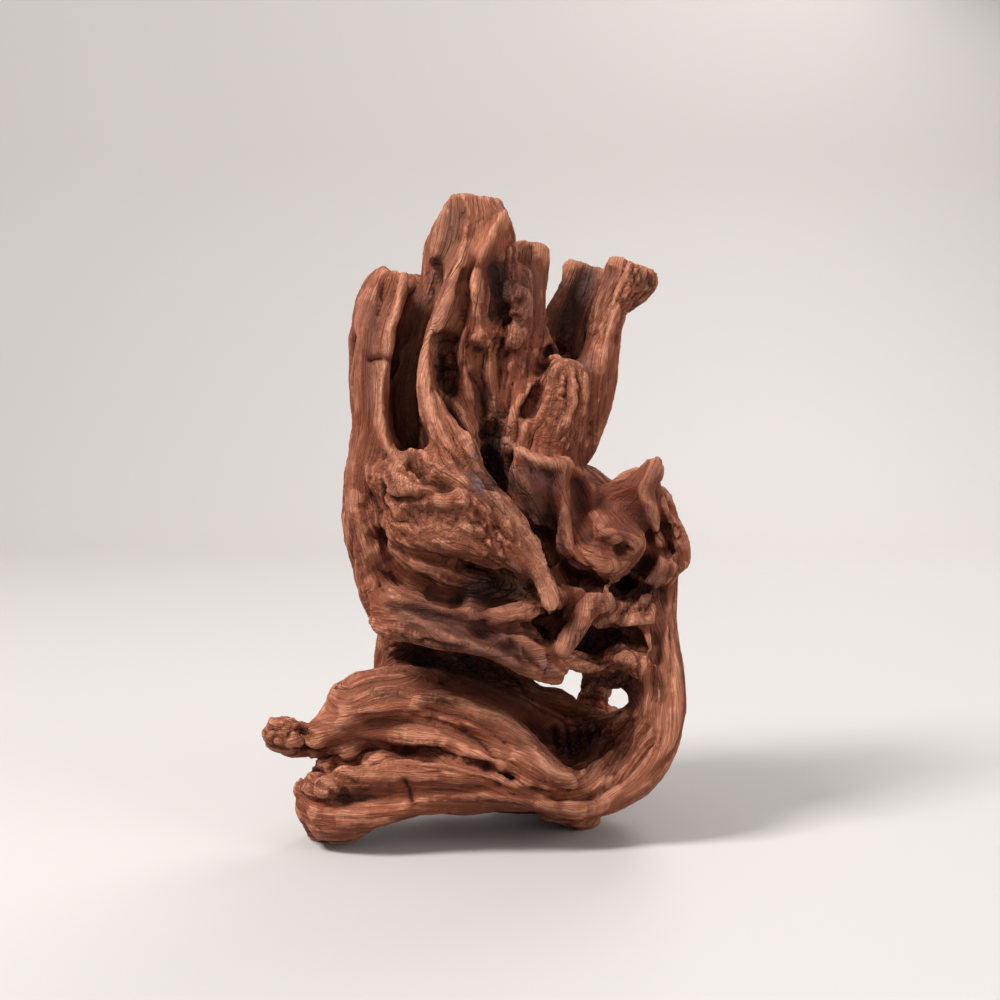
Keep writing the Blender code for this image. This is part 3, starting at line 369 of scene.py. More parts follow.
# Smooth, dark red skin without furrows.
SMOOTH = {
    "wing": (1.0, 8.0, [(20, 98), (28, 95), (32, 86), (38, 84), (44, 92), (49, 99)]),
    "cheek": (0.7, 6.0, [(33, 78), (41, 76)]),
    "panel of the spire": (0.9, 3.4, [(14, 151), (14, 142)]),
    "patch under the arch": (0.9, 3.4, [(6, 157), (6.4, 146)]),
    "wall of the trough": (1.0, 5.0, [(2, 37), (12, 32), (20, 27)]),
    # Partly painted shade: the slab's dark skin also stands for the shade under the lobe.
    "slab": (1.0, 6.0, [(-14, 62), (-4, 58), (8, 53)]),
    "inside of the channel": (0.7, 5.0, [(-19, 146), (-22, 130), (-22, 112)]),
    "gutter": (0.9, 5.0, [(32, 154), (26, 142)]),
    "shelf": (0.7, 4.0, [(24, 67), (33, 65)]),
    "strut": (0.6, 3.0, [(54, 76), (47, 66)]),
    "left wall": (0.4, 5.0, [(-31, 146), (-32, 124)]),
}

# Where the front has fewer furrows, in its own colour.
CALM = {
    "band of the log": (0.8, 6.0, [(-42, 28), (-32, 31), (-22, 33)]),
    "front of the log": (0.6, 5.0, [(-34, 12), (-20, 13)]),
    "left wall": (0.7, 6.0, [(-33, 146), (-33, 120), (-34, 96)]),
    "face of the spire": (0.8, 5.0, [(0, 173), (1, 160)]),
    "left of the spire": (0.6, 4.0, [(-9, 168), (-12, 152)]),
    "flank": (0.8, 5.0, [(-32, 86), (-29, 72)]),
    "foot of the left wall": (0.6, 6.0, [(-28, 72), (-22, 62)]),
    "branch": (0.5, 4.0, [(38, 144), (33, 124)]),
    "curl": (0.7, 7.0, [(44, 18), (51, 30), (54, 48)]),
    "middle of the log": (0.5, 6.0, [(-18, 26), (0, 20)]),
}

# Painted shade: where the front is painted darker than the light alone would have it, mostly under
# overhangs, in slits and on faces away from the light.
PAINTED_SHADE = {
    "face of the slab": (1.0, 6.5, [(-16, 61), (-2, 56), (10, 50)]),
    "left wall": (0.12, 7.0, [(-33, 148), (-33, 112)]),
    "first stripe of the flank": (0.6, 0.8, [(-35.4, 84), (-32, 86), (-28.6, 88)]),
    "second stripe of the flank": (0.6, 0.8, [(-35, 80.6), (-31, 83), (-27.6, 85.2)]),
    "third stripe of the flank": (0.6, 0.8, [(-34.4, 77.2), (-30.6, 79.6), (-27, 82)]),
    "fourth stripe of the flank": (0.6, 0.8, [(-33.4, 74), (-30, 76.2), (-26.6, 78.6)]),
    "fifth stripe of the flank": (0.6, 0.8, [(-32.2, 70.8), (-29, 73), (-26.2, 75)]),
    "cut end": (0.6, 1.6, [(47, 155), (48.4, 152)]),
    "top of the log": (0.35, 4.0, [(-14, 44), (0, 42), (12, 36)]),
    "side of the wing": (0.5, 4.0, [(44, 82), (46, 74)]),
    "panel of the wing": (0.35, 4.0, [(15, 100), (19, 90)]),
    "fold of the wing": (0.3, 3.0, [(27, 96), (28, 86)]),
    "right of the spire": (0.4, 3.4, [(12, 158), (13, 146), (12, 136)]),
    "under the lobe": (0.4, 5.0, [(-12, 72), (0, 66)]),
    "between shelf and curl": (0.4, 3.0, [(48, 66), (52, 72)]),
}

# Burled wood: crumbly, with short waves in place of long furrows.
BURLED = {
    "lobe": (1.0, 9.0, [(-24, 96), (-16, 88), (-4, 86), (6, 82)]),
    "crown of the lobe": (0.9, 4.0, [(-12, 102), (-5, 103)]),
    "bulge of the branch": (0.8, 7.0, [(25, 126), (25, 112)]),
    "knots by the spire": (1.0, 4.4, [(11, 150), (11, 138), (6, 136)]),
    "end of the log": (0.9, 5.0, [(-46, 12), (-38, 11)]),
    "prong": (0.8, 4.0, [(-57, 26), (-50, 25)]),
    "knuckle": (0.9, 4.0, [(39, 50), (44, 47)]),
    "curl": (0.5, 5.0, [(36, 15), (46, 26)]),
    "lumps under the wing": (1.0, 4.0, [(34, 61), (48, 62)]),
    "knob of the ear": (0.8, 3.0, [(57, 76)]),
    "foot of the wing": (0.6, 3.6, [(12, 88), (20, 74)]),
}

# Greyish lavender scuffs.
SCUFFED = {
    "scuff of the lobe": (0.8, 2.0, [(0, 98.6), (1.6, 96)]),
    "scuff of the branch": (0.6, 1.6, [(30.6, 131)]),
    "top of the slab": (0.5, 1.4, [(19, 46.4), (20.6, 44)]),
    "panel of the wing": (0.2, 3.0, [(16, 101), (21, 98)]),
}

# Greyish brown, weathered wood.
GREYED = {
    "left of the spire": (0.8, 4.5, [(-7, 172), (-9, 160), (-12, 148)]),
    "inside of the gutter": (0.9, 5.0, [(33, 156), (28, 148), (23, 141)]),
    "cut end": (0.7, 2.6, [(44, 155), (47, 153)]),
    "short stub": (0.6, 3.6, [(15, 162), (16, 150)]),
    "middle of the face": (0.4, 5.0, [(2, 130), (3, 112)]),
    "streak of the left wall": (0.6, 1.6, [(-27.4, 150), (-28.6, 134), (-29, 118)]),
    "left of the slab": (0.35, 4.0, [(-24, 66), (-20, 60)]),
    "back of the slot": (0.5, 5.0, [(-20, 50), (-6, 48)]),
}

# The painted areas, by the names that the material reads them under.
AREAS = {
    "charred": CHARRED_AND_SHADE, "pale": PALE, "smooth": SMOOTH, "burled": BURLED, "scuffed": SCUFFED,
    "worn_edge": WORN_EDGES, "greyed": GREYED, "calm": CALM, "darkened": PAINTED_SHADE,
}

# The sides: the eye, the axis that it looks along, and the grain and the lines that it sees.
SIDES = (
    (np.array((EYE_ASIDE, -EYE_FAR, EYE_UP)), 1, FRONT_GRAIN, FRONT_LINES),
    (np.array((0.0, EYE_FAR, EYE_UP)), 1, BACK_GRAIN, BACK_LINES),
    (np.array((-EYE_FAR, 0.0, EYE_UP)), 0, LEFT_GRAIN, LEFT_LINES),
    (np.array((EYE_FAR, 0.0, EYE_UP)), 0, RIGHT_GRAIN, RIGHT_LINES),
)

# Anything smaller than this counts as nothing.
TINY = 1e-6

# The fine copy: how often its facets are divided, how much they are rounded each time, and how
# far one softening takes a point towards its neighbours.
DIVISIONS = 2
ROUNDING = 1.0
SOFTENING = 0.5

# How the drawing is put on the wood, in millimetres: the cells that find what an eye sees, how
# deep behind the nearest point it still sees, the facing from which a line is at full depth, and
# how often the seen share is evened out.
SIGHT_CELL = 1.0
SIGHT_DEPTH = 2.2
FACING_ENOUGH = 0.4
SIGHT_SPREAD = 4

# The drawn lines: the step of their curves and how far they waver, in millimetres, how sharp
# they and the painted areas are, and what their heights and depths are multiplied by.
LINE_STEP = 1.5
LINE_WOBBLE = 0.45
LINE_POWER = 1.0
AREA_POWER = 2.0
RIDGE_GAIN = 1.7
CRACK_GAIN = 1.25

# The grain's direction, on the grid of a side and in space: cells, corners and margins in
# millimetres, how soon a line gives way to its neighbours, the least facing that a side is
# trusted with, and the share of what no side sees.
SIDE_CELL = 2.0
SIDE_LOW = np.array((-72.0, -8.0))
SIDE_SIZE = (74, 100)
SIDE_SOFTNESS = 4.0
LEAST_FACING = 0.3
SPACE_CELL = 2.0
SPACE_MARGIN = 8.0
HIDDEN_SHARE = 0.02

# Which way along the grain counts as forward: in the log, below this height, and in the trunk.
LOG_TOP = 57.0
LOG_WAY = np.array((1.0, 0.3, 0.2))
TRUNK_WAY = np.array((0.25, 0.1, 1.0))
SIGN_ROUNDS = 24

# The noises that are drawn out along the grain: blob size, step and number of steps each way.
FURROW = (2.2, 1.3, 12)
FLUTE = (5.0, 2.6, 10)
BURL = (2.2, 1.1, 4)
NOISE_ROUNDS = 2

# How often the noises are evened out on the skin.
FURROW_SPREAD = 2
BURL_SPREAD = 1
WAVE_SPREAD = 4

# The relief, in millimetres: how far the burls waver, the size of the wavering, and the height
# above the floor from which the relief is whole. A ridged noise is cut off at this level.
BURL_WAVER = 1.6
WAVE_SIZE = 9.0
DRY_EDGE = 1.5
RIDGE_CUT = 1.6

# How much calmer smooth and burled wood is, and how narrow and how common the crevices are.
CALM_SMOOTH = 0.85
CALM_BURLED = 0.6
CREVICE_WIDTH = 0.2
CREVICE_SHARE = 0.1

# Edges are made crisper at two widths: how often points are evened out for each, and the most
# that a point moves in and out, in millimetres.
CRISP = ((7, 0.4, 0.45), (40, 0.3, 0.1))

# How often the skin's normals are evened out before the relief, and the facing up afterwards.
NORMAL_SPREAD = 3
UP_SPREAD = 12

# The patterns' coordinates: how firmly the lengths across and along hold to the grain, how soon
# a side gives way at its edge and what it keeps beyond, how far apart the front's and the back's
# lengths lie, in millimetres, and the solver's steps.
FIRM_ACROSS = 1.2
FIRM_ALONG = 0.2
CHART_EDGE = 0.35
CHART_REST = 0.02
CHART_SHIFT = 500.0
SOLVER_STEPS = 200

# What shuts a place in: rays, how far they look, and how far off the skin they start, in metres.
RAYS = 64
RAY_LENGTH = 0.03
RAY_START = 0.0015
SHUT_SPREAD = 6

# Hollows and ridges: how often a point is evened out with its neighbours before it is compared.
HOLLOWS = {"fine_hollow": 3, "hollow": 16}

# The material's fibres and cracks, in counts a millimetre across and along the grain, and its
# crumbs and blotches, in metres.
FIBRES = {
    "thread": {"Across": 4.6, "Along": 0.17, "Detail": 3.0, "Waver": 0.15, "Contrast": 0.2},
    "fine": {"Across": 1.9, "Along": 0.06, "Detail": 3.0, "Waver": 0.2, "Contrast": 0.22},
    "middle": {"Across": 0.8, "Along": 0.03, "Detail": 3.0, "Waver": 0.3, "Contrast": 0.2},
    "streak": {"Across": 0.6, "Along": 0.02, "Detail": 3.0, "Waver": 0.4, "Contrast": 0.14},
    "broad": {"Across": 0.22, "Along": 0.012, "Detail": 3.0, "Waver": 0.5, "Contrast": 0.2},
}
CRACKS = {
    "long_crack": {"Across": 0.5, "Along": 0.03, "Width": 0.035, "Waver": 0.4, "Share": 0.4},
    "plate_crack": {"Across": 0.6, "Along": 0.28, "Width": 0.13, "Waver": 0.5, "Share": 0.9},
}
PORES = {
    "crumb": {"Size": 0.0011, "Contrast": 0.14},
    "blotch": {"Size": 0.02, "Contrast": 0.14},
}

# What the mesh keeps, and the values at which each of these begins and is whole. Shut, deep, pit
# and under feed the painted shade, up the painted light on upward faces.
RAMPS = {
    "shut": ("shut_in", 0.3, 0.85),
    "deep": ("hollow", 0.15, 0.95),
    "ridge": ("hollow", -0.25, -0.8),
    "edge": ("fine_hollow", -0.08, -0.26),
    "pit": ("fine_hollow", 0.07, 0.36),
    "up": ("facing_up", -0.1, 0.9),
    "under": ("facing_up", 0.05, -0.7),
}

# How strongly each of these tints the wood, wears it pale and paints light on its upward faces,
# paints shade into it, and, in millimetres, how far it stands out or goes in.
TINT = {
    "light middle": 0.4, "light blotch": 0.25, "light fine": 0.4, "skin": 0.8, "dark streak": 0.35,
    "dark fine": 0.3, "dark thread": 0.34, "dark crumb": 0.2, "recess": 0.9, "long crack": 0.65,
}
# Wear on ridges and edges, and painted light on faces that look up.
WEAR_AND_TOP_LIGHT = {"ridge": 0.45, "edge": 0.4, "up": 0.22}
# Painted shade: narrow holes, hollows and pits, partly the hollows' own darker colour, and faces that
# look down.
HOLLOW_AND_UNDER_SHADE = {"shut": 0.75, "deep": 0.3, "pit": 0.55, "under": 0.4}
HEIGHT = {"middle": 0.42, "thread": 0.1, "crumb": 0.13}
FINE_HEIGHT = 0.34
BURL_HEIGHT = 0.6
SPLIT_DEPTH = 0.8
PALE_WEAR = 0.7

# How much is left of one thing where another is whole.
WORN_IF_PAINTED_SHADE = 0.15
WORN_IF_SMOOTH = 0.5
SHADE_IF_WORN = 0.25
SPLIT_IF_CALM = 0.25

# The wood's gloss.
ROUGHNESS = 0.86
SMOOTH_GLOSS = 0.28
WORN_GLOSS = 0.1
SPECULAR = 0.22

# The stage, in metres: the floor, the lights' places and sizes, and the spot they point at.
FLOOR_FRONT = 1.2
FLOOR_HALF = 1.6
WALL_TOP = 1.6
COVE_STEPS = 16
FLOOR_ROUGHNESS = 0.7
SKY_COLOUR = (0.84, 0.83, 0.82, 1)
LIGHTS = {
    "key": ((-0.6, -0.38, 0.9), 0.34),
    "fill": ((0.8, -0.5, 0.35), 0.6),
    "back": ((0.35, 0.75, 0.7), 0.5),
}
LIT_SPOT = Vector((0, 0, 0.08))
NEAREST_SEEN = 0.01
FILM_WIDTH = 36


def curve_through(line, step):
    """Points of the smooth curve through a line's points, about step apart."""
    rows = [np.array(point, float) for point in line]
    if len(rows) == 1:
        return np.array(rows)
    rows = [2 * rows[0] - rows[1], *rows, 2 * rows[-1] - rows[-2]]
    made = []
    for a, b, c, d in zip(rows, rows[1:], rows[2:], rows[3:]):
        count = max(1, round(np.linalg.norm(c - b) / step))
        for k in range(count):
            t = k / count
            made.append(0.5 * (2 * b + (c - a) * t + (2 * a - 5 * b + 4 * c - d) * t**2
                               + (3 * b - a - 3 * c + d) * t**3))
    made.append(rows[-2])
    return np.array(made)


def modified(obj, kind, **settings):
    """Adds a modifier with these settings and applies it."""
    modifier = obj.modifiers.new(kind.title(), kind)
    for name, value in settings.items():
        setattr(modifier, name, value)
    graph = bpy.context.evaluated_depsgraph_get()
    mesh = bpy.data.meshes.new_from_object(obj.evaluated_get(graph))
    obj.modifiers.clear()
    old, obj.data = obj.data, mesh
    bpy.data.meshes.remove(old)


def merged(mesh):
    """A bmesh of a mesh, with its doubles made one."""
    bm = bmesh.new()
    bm.from_mesh(mesh)
    bmesh.ops.remove_doubles(bm, verts=bm.verts, dist=TINY)
    return bm


def fine_copy(node, name, grid, softening):
    """A copy of the node with its facets rounded and an even, fine mesh."""
    bm = merged(node.data)
    for _ in range(DIVISIONS):
        bmesh.ops.subdivide_edges(bm, edges=bm.edges, cuts=1, use_grid_fill=True, smooth=ROUNDING,
                                  smooth_falloff="LINEAR")
    mesh = bpy.data.meshes.new(name)
    bm.to_mesh(mesh)
    bm.free()
    made = bpy.data.objects.new(name, mesh)
    bpy.context.scene.collection.objects.link(made)
    modified(made, "REMESH", mode="VOXEL", voxel_size=grid, adaptivity=0)
    modified(made, "SMOOTH", factor=SOFTENING, iterations=softening)
    return made


def read_array(items, key, width, kind=np.float32):
    """One value of each item of a mesh, as rows."""
    values = np.empty(len(items) * width, kind)
    items.foreach_get(key, values)
    return values.reshape(-1, width)


def dots(first, second):
    """The dot product of each row of one array with that of another."""
    return np.einsum("ij,ij->i", first, second)


def evened(grid, rounds):
    """A grid in space, evened out along each of its three axes."""
    for axis in (0, 1, 2):
        for _ in range(rounds):
            grid = (np.roll(grid, 1, axis) + np.roll(grid, -1, axis) + 2 * grid) / 4
    return grid


class Skin:
    """The points of a mesh in the drawing's millimetres, with their normals and edges."""

    def __init__(self, mesh):
        self.points = read_array(mesh.vertices, "co", 3).astype(float) / MM + MIDDLE
        self.normals = read_array(mesh.vertex_normals, "vector", 3).astype(float)
        self.edges = read_array(mesh.edges, "vertices", 2, np.int32)
        self.count = np.bincount(self.edges.ravel(), minlength=len(self.points))

    def spread(self, values, times):
        """Evens out a value, or a row of values, along the edges."""
        a, b = self.edges.T
        rows = values.reshape(len(self.points), -1).T.copy()
        for row in rows:
            for _ in range(times):
                total = np.bincount(a, row[b], len(row)) + np.bincount(b, row[a], len(row))
                row[:] = (row + total / self.count) / 2
        return rows.T.reshape(values.shape)

    def bulge(self, times):
        """How far each point lies under its evened-out place, in millimetres."""
        return dots(self.spread(self.points, times) - self.points, self.normals)


def looks(points, eye, axis):
    """Where points look to be from an eye, across and up, and how far away they are."""
    near = eye[axis] / (eye[axis] - points[:, axis])
    flat = eye + (points - eye) * near[:, None]
    return flat[:, 1 - axis], flat[:, 2], np.linalg.norm(points - eye, axis=1)


def seen_share(skin, eye, axis):
    """How much of each point the eye sees, from 0 to 1."""
    across, up, far = looks(skin.points, eye, axis)
    row = np.floor(across / SIGHT_CELL).astype(int)
    column = np.floor(up / SIGHT_CELL).astype(int)
    row -= row.min()
    column -= column.min()
    cell = row * (column.max() + 1) + column
    nearest = np.full(cell.max() + 1, np.inf)
    np.minimum.at(nearest, cell, far)
    facing = dots(eye - skin.points, skin.normals) / far
    seen = np.clip(facing / FACING_ENOUGH, 0, 1) * (far < nearest[cell] + SIGHT_DEPTH)
    return skin.spread(seen, SIGHT_SPREAD)


def line_distance(x, z, line):
    """The distance in the plane from each x, z to a line of points."""
    best = np.full(len(x), np.inf)
    ends = line[1:] if len(line) > 1 else line
    for (ax, az), (bx, bz) in zip(line, ends):
        wx, wz = bx - ax, bz - az
        along = ((x - ax) * wx + (z - az) * wz) / max(wx * wx + wz * wz, TINY)
        along = np.clip(along, 0, 1)
        best = np.minimum(best, np.hypot(x - ax - along * wx, z - az - along * wz))
    return best


def stroke(x, z, line, width, power):
    """1 on a line, and less beside it, over its half-width; a low power gives a sharp line."""
    curve = curve_through(line, LINE_STEP)
    low, high = curve.min(0) - 3 * width, curve.max(0) + 3 * width
    near = np.flatnonzero((x > low[0]) & (x < high[0]) & (z > low[1]) & (z < high[1]))
    share = np.zeros(len(x))
    share[near] = np.exp(-((line_distance(x[near], z[near], curve) / width) ** power))
    return share


class Noise:
    """Random values in space that change over about this size, in millimetres."""

    def __init__(self, size, low, high, seed):
        self.low = low
        self.step = size / 2
        shape = np.ceil((high - low) / self.step).astype(int) + 1
        values = evened(np.random.default_rng(seed).standard_normal(shape, np.float32), NOISE_ROUNDS)
        self.values = values / values.std()

    def at(self, spots):
        """The values at these spots."""
        place = ((spots - self.low) / self.step + 0.5).astype(int)
        place = np.clip(place, 0, np.array(self.values.shape) - 1)
        return self.values[place[:, 0], place[:, 1], place[:, 2]]


def side_grain(lines):
    """The grain on a grid of one side, as the cosine and the sine of twice its angle."""
    spots, ways = [], []
    for line in lines:
        curve = curve_through(line, SIDE_CELL)
        spots.append((curve[1:] + curve[:-1]) / 2)
        ways.append(curve[1:] - curve[:-1])
    spots, ways = np.concatenate(spots), np.concatenate(ways)
    angle = 2 * np.arctan2(ways[:, 1], ways[:, 0])
    rows, columns = np.indices(SIDE_SIZE)
    cells = np.stack((rows, columns), -1) * SIDE_CELL + SIDE_LOW
    away = ((cells[:, :, None] - spots) ** 2).sum(-1)
    weight = 1 / (away + SIDE_SOFTNESS) ** 2
    return (weight * np.cos(angle)).sum(-1), (weight * np.sin(angle)).sum(-1)


def side_ways(skin, eye, axis, lines):
    """The grain's direction at each point, as one side shows it."""
    across, up, _ = looks(skin.points, eye, axis)
    row = (across - SIDE_LOW[0]) / SIDE_CELL
    column = (up - SIDE_LOW[1]) / SIDE_CELL
    row = np.clip(row.round().astype(int), 0, SIDE_SIZE[0] - 1)
    column = np.clip(column.round().astype(int), 0, SIDE_SIZE[1] - 1)
    cosine, sine = side_grain(lines)
    angle = np.arctan2(sine[row, column], cosine[row, column]) / 2
    ways = np.zeros_like(skin.points)
    ways[:, 1 - axis] = np.cos(angle)
    ways[:, 2] = np.sin(angle)
    facing = skin.normals[:, axis]
    facing = np.where(np.abs(facing) < LEAST_FACING, np.copysign(LEAST_FACING, facing), facing)
    ways[:, axis] = -dots(ways, skin.normals) / facing
    ways -= skin.normals * dots(ways, skin.normals)[:, None]
    return ways / np.linalg.norm(ways, axis=1)[:, None]


class Grain:
    """The grain's direction anywhere near the wood, on a grid in space."""

    def __init__(self, skin, seen):
        pairs = ((0, 0), (0, 1), (0, 2), (1, 1), (1, 2), (2, 2))
        sums = np.zeros((len(pairs), len(skin.points)))
        for share, (eye, axis, lines, _) in zip(seen, SIDES):
            ways = side_ways(skin, eye, axis, lines)
            facing = np.clip(dots(eye - skin.points, skin.normals) / EYE_FAR, 0, 1)
            share = share + HIDDEN_SHARE * facing + TINY
            for total, (i, j) in zip(sums, pairs):
                total += share * ways[:, i] * ways[:, j]
        self.low = skin.points.min(0) - SPACE_MARGIN
        high = skin.points.max(0) + SPACE_MARGIN
        self.shape = np.ceil((high - self.low) / SPACE_CELL).astype(int) + 1
        cell = self.cell_of(skin.points)
        tensors = np.zeros((*self.shape, 3, 3))
        for values, (i, j) in zip(sums, pairs):
            grid = np.bincount(cell, values, int(np.prod(self.shape))).reshape(self.shape)
            tensors[..., i, j] = tensors[..., j, i] = evened(grid, NOISE_ROUNDS)
        ways = np.linalg.eigh(tensors.reshape(-1, 3, 3))[1][:, :, 2].reshape(*self.shape, 3)
        filled = tensors[..., 0, 0] + tensors[..., 1, 1] + tensors[..., 2, 2] > TINY
        heights = self.low[2] + SPACE_CELL * np.arange(self.shape[2])
        guide = np.where((heights < LOG_TOP)[:, None], LOG_WAY, TRUNK_WAY)
        signed = ways * np.where((ways * guide).sum(-1) < 0, -1, 1)[..., None]
        for _ in range(SIGN_ROUNDS):
            even = evened(signed * filled[..., None], 1)
            signed = ways * np.where((ways * even).sum(-1) < 0, -1, 1)[..., None]
        self.ways = signed.reshape(-1, 3)

    def cell_of(self, spots):
        """The number of the cell that each spot lies in."""
        place = ((spots - self.low) / SPACE_CELL + 0.5).astype(int)
        place = np.clip(place, 0, self.shape - 1)
        return (place[:, 0] * self.shape[1] + place[:, 1]) * self.shape[2] + place[:, 2]

    def along(self, spots):
        """The grain's direction at these spots."""
        return self.ways[self.cell_of(spots)]

    def drawn_out(self, points, noise, step, count):
        """A noise drawn out along the grain: its mean over a stretch of the grain each way."""
        start = self.along(points)
        total = noise.at(points)
        for sign in (1, -1):
            spots, way = points.copy(), start * sign
            for _ in range(count):
                ahead = self.along(spots)
                turn = np.sign(dots(ahead, way))
                way = ahead * np.where(turn == 0, 1, turn)[:, None]
                spots += way * step
                total = total + noise.at(spots)
        return (total - total.mean()) / total.std()


def areas_of(skin, seen):
    """How much each point belongs to each painted area, as the front shows it."""
    x, z, _ = looks(skin.points, *SIDES[0][:2])
    made = {}
    for name, strokes in AREAS.items():
        made[name] = np.zeros(len(x))
        for strength, width, line in strokes.values():
            made[name] = np.maximum(made[name], strength * stroke(x, z, line, width, AREA_POWER))
        made[name] *= seen[0]
    return made


def drawn_relief(skin, seen, waver):
    """The height of the drawn cracks and ridges at each point, in millimetres."""
    height = np.zeros(len(skin.points))
    for share, (eye, axis, _, lines) in zip(seen, SIDES):
        across, up, _ = looks(skin.points, eye, axis)
        across, up = across + LINE_WOBBLE * waver[0], up + LINE_WOBBLE * waver[1]
        for rise, width, line in lines.values():
            rise *= RIDGE_GAIN if rise > 0 else CRACK_GAIN
            height += rise * share * stroke(across, up, line, width, LINE_POWER)
    return height


def ridged(noise):
    """Rounded ridges with narrow valleys between them, along where the noise is 0."""
    return np.minimum(np.abs(noise), RIDGE_CUT) - RIDGE_CUT / 2


def relief(skin, seen, grain, wood):
    """How far each point moves out, in millimetres."""
    low, high = skin.points.min(0) - SPACE_MARGIN, skin.points.max(0) + SPACE_MARGIN

    def drawn_noise(points, shape, seed, times):
        size, step, count = shape
        noise = Noise(size, low, high, wood.seed + seed)
        return skin.spread(grain.drawn_out(points, noise, step, count), times)

    furrow = drawn_noise(skin.points, FURROW, 0, FURROW_SPREAD)
    flute = drawn_noise(skin.points, FLUTE, 1, FURROW_SPREAD)
    waver = [skin.spread(Noise(WAVE_SIZE, low, high, wood.seed + seed).at(skin.points), WAVE_SPREAD)
             for seed in (4, 5, 6)]
    lump = drawn_noise(skin.points + BURL_WAVER * np.stack(waver, 1), BURL, 3, BURL_SPREAD)
    areas = areas_of(skin, seen)
    calm = (1 - CALM_SMOOTH * areas["smooth"]) * (1 - CALM_BURLED * areas["burled"])
    calm *= 1 - CALM_SMOOTH * areas["calm"]
    height = calm * wood.furrow_depth / MM * ridged(furrow)
    height += calm * wood.flute_depth / MM * flute
    cracked = calm * np.clip(waver[0] + CREVICE_SHARE, 0, 1)
    height -= cracked * wood.crevice_depth / MM * np.exp(-((furrow / CREVICE_WIDTH) ** 2))
    height += areas["burled"] * wood.burl_depth / MM * ridged(lump)
    height += drawn_relief(skin, seen, waver)
    for times, most_in, most_out in CRISP:
        out = -skin.bulge(times) * wood.crispness
        most = np.where(out > 0, most_out, most_in)
        height += most * np.tanh(out / most)
    return height * np.clip(skin.points[:, 2] / DRY_EDGE, 0, 1)


def put_points(mesh, points):
    """Sets a mesh's points from the drawing's millimetres, none of them under the floor."""
    rows = (points - MIDDLE) * MM
    rows[:, 2] = np.maximum(rows[:, 2], 0)
    mesh.vertices.foreach_set("co", rows.astype(np.float32).ravel())
    mesh.update()


def solved(triangles, size, held, firm, target):
    """The values of a mesh's points that rise by target along held, and hardly along firm."""
    value = np.zeros(size)

    def gathered(rows):
        return np.bincount(triangles.ravel(), rows.ravel(), size)

    scale = gathered(held**2 + firm**2) + TINY
    rest = gathered(held * target)
    way = rest / scale
    power = rest @ way
    for _ in range(SOLVER_STEPS):
        there = way[triangles]
        pull = gathered(held * (held * there).sum(1, keepdims=True)
                        + firm * (firm * there).sum(1, keepdims=True))
        step = power / (way @ pull)
        value += step * way
        rest -= step * pull
        fresh = rest / scale
        power, last = rest @ fresh, power
        way = fresh + power / last * way
    return value


def grain_lengths(skin, triangles, grain):
    """Two lengths at each corner, in millimetres, across the grain and along it.

    A length that grows across the grain all round a limb can't meet itself again, so the front
    and the back are solved apart, and each face takes its own side's."""
    corners = skin.points[triangles]
    edges = np.roll(corners, 1, 1) - np.roll(corners, -1, 1)
    normals = np.cross(edges[:, 0], edges[:, 1])
    double = np.maximum(np.linalg.norm(normals, axis=1), TINY)
    normals /= double[:, None]
    slopes = np.cross(normals[:, None], edges) / double[:, None, None]
    along = grain.along(corners.mean(1))
    along -= normals * dots(along, normals)[:, None]
    along /= np.maximum(np.linalg.norm(along, axis=1), TINY)[:, None]
    rise_along = np.einsum("nij,nj->ni", slopes, along)
    rise_aside = np.einsum("nij,nj->ni", slopes, np.cross(normals, along))
    size = len(skin.points)
    whole = np.sqrt(double)[:, None]
    lengths = [solved(triangles, size, rise_along * whole, rise_aside * whole * FIRM_ALONG, whole)]
    for side in (-1, 1):
        facing = np.clip((side * normals[:, 1:2] + CHART_EDGE) / CHART_EDGE, CHART_REST, 1)
        held = whole * facing
        firm = rise_along * whole * FIRM_ACROSS
        lengths.append(solved(triangles, size, rise_aside * held, firm, held))
    front = normals[:, 1] < 0
    across = np.where(front[:, None], lengths[1][triangles], lengths[2][triangles] + CHART_SHIFT)
    return np.stack((across, lengths[0][triangles], np.zeros(across.shape)), 2)


def ways_round(count):
    """Directions spread evenly over a ball."""
    turns = [k * math.pi * (3 - math.sqrt(5)) for k in range(count)]
    highs = [1 - (2 * k + 1) / count for k in range(count)]
    return [Vector((math.cos(turn) * math.sqrt(1 - high**2),
                    math.sin(turn) * math.sqrt(1 - high**2), high))
            for turn, high in zip(turns, highs)]


def shut_in(node, skin):
    """How shut in each point of a mesh is, from 0 in the open to 1 in a narrow hole."""
    bm = merged(node.data)
    bm.normal_update()
    tree = BVHTree.FromBMesh(bm)
    near = KDTree(len(bm.verts))
    ways = ways_round(RAYS)
    values = []
    for k, vert in enumerate(bm.verts):
        start = vert.co + vert.normal * RAY_START
        shut = total = 0.0
        for way in ways:
            slant = way.dot(vert.normal)
            if slant > 0:
                total += slant
                far = tree.ray_cast(start, way, RAY_LENGTH)[3]
                if far is not None:
                    shut += slant * (1 - far / RAY_LENGTH)
        values.append(shut / total)
        near.insert(start, k)
    near.balance()
    bm.free()
    spots = skin.points + skin.normals * RAY_START / MM
    made = [values[near.find(spot)[1]] for spot in (spots - MIDDLE) * MM]
    return skin.spread(np.array(made), SHUT_SPREAD)


def give_patterns(node, mesh, grain):
    """Keeps on the mesh what its material reads: grain, hollows, ridges and painted areas."""
    skin = Skin(mesh)
    triangles = read_array(mesh.polygons, "vertices", 3, np.int32)
    made = mesh.attributes.new("grain", "FLOAT_VECTOR", "CORNER")
    made.data.foreach_set("vector", grain_lengths(skin, triangles, grain).astype(np.float32).ravel())
    values = {"shut_in": shut_in(node, skin)}
    values.update((name, skin.bulge(times)) for name, times in HOLLOWS.items())
    values["facing_up"] = skin.spread(skin.normals[:, 2].copy(), UP_SPREAD)
    values.update(areas_of(skin, [seen_share(skin, *SIDES[0][:2])]))
    for name, value in values.items():
        made = mesh.attributes.new(name, "FLOAT", "POINT")
        made.data.foreach_set("value", value.astype(np.float32))


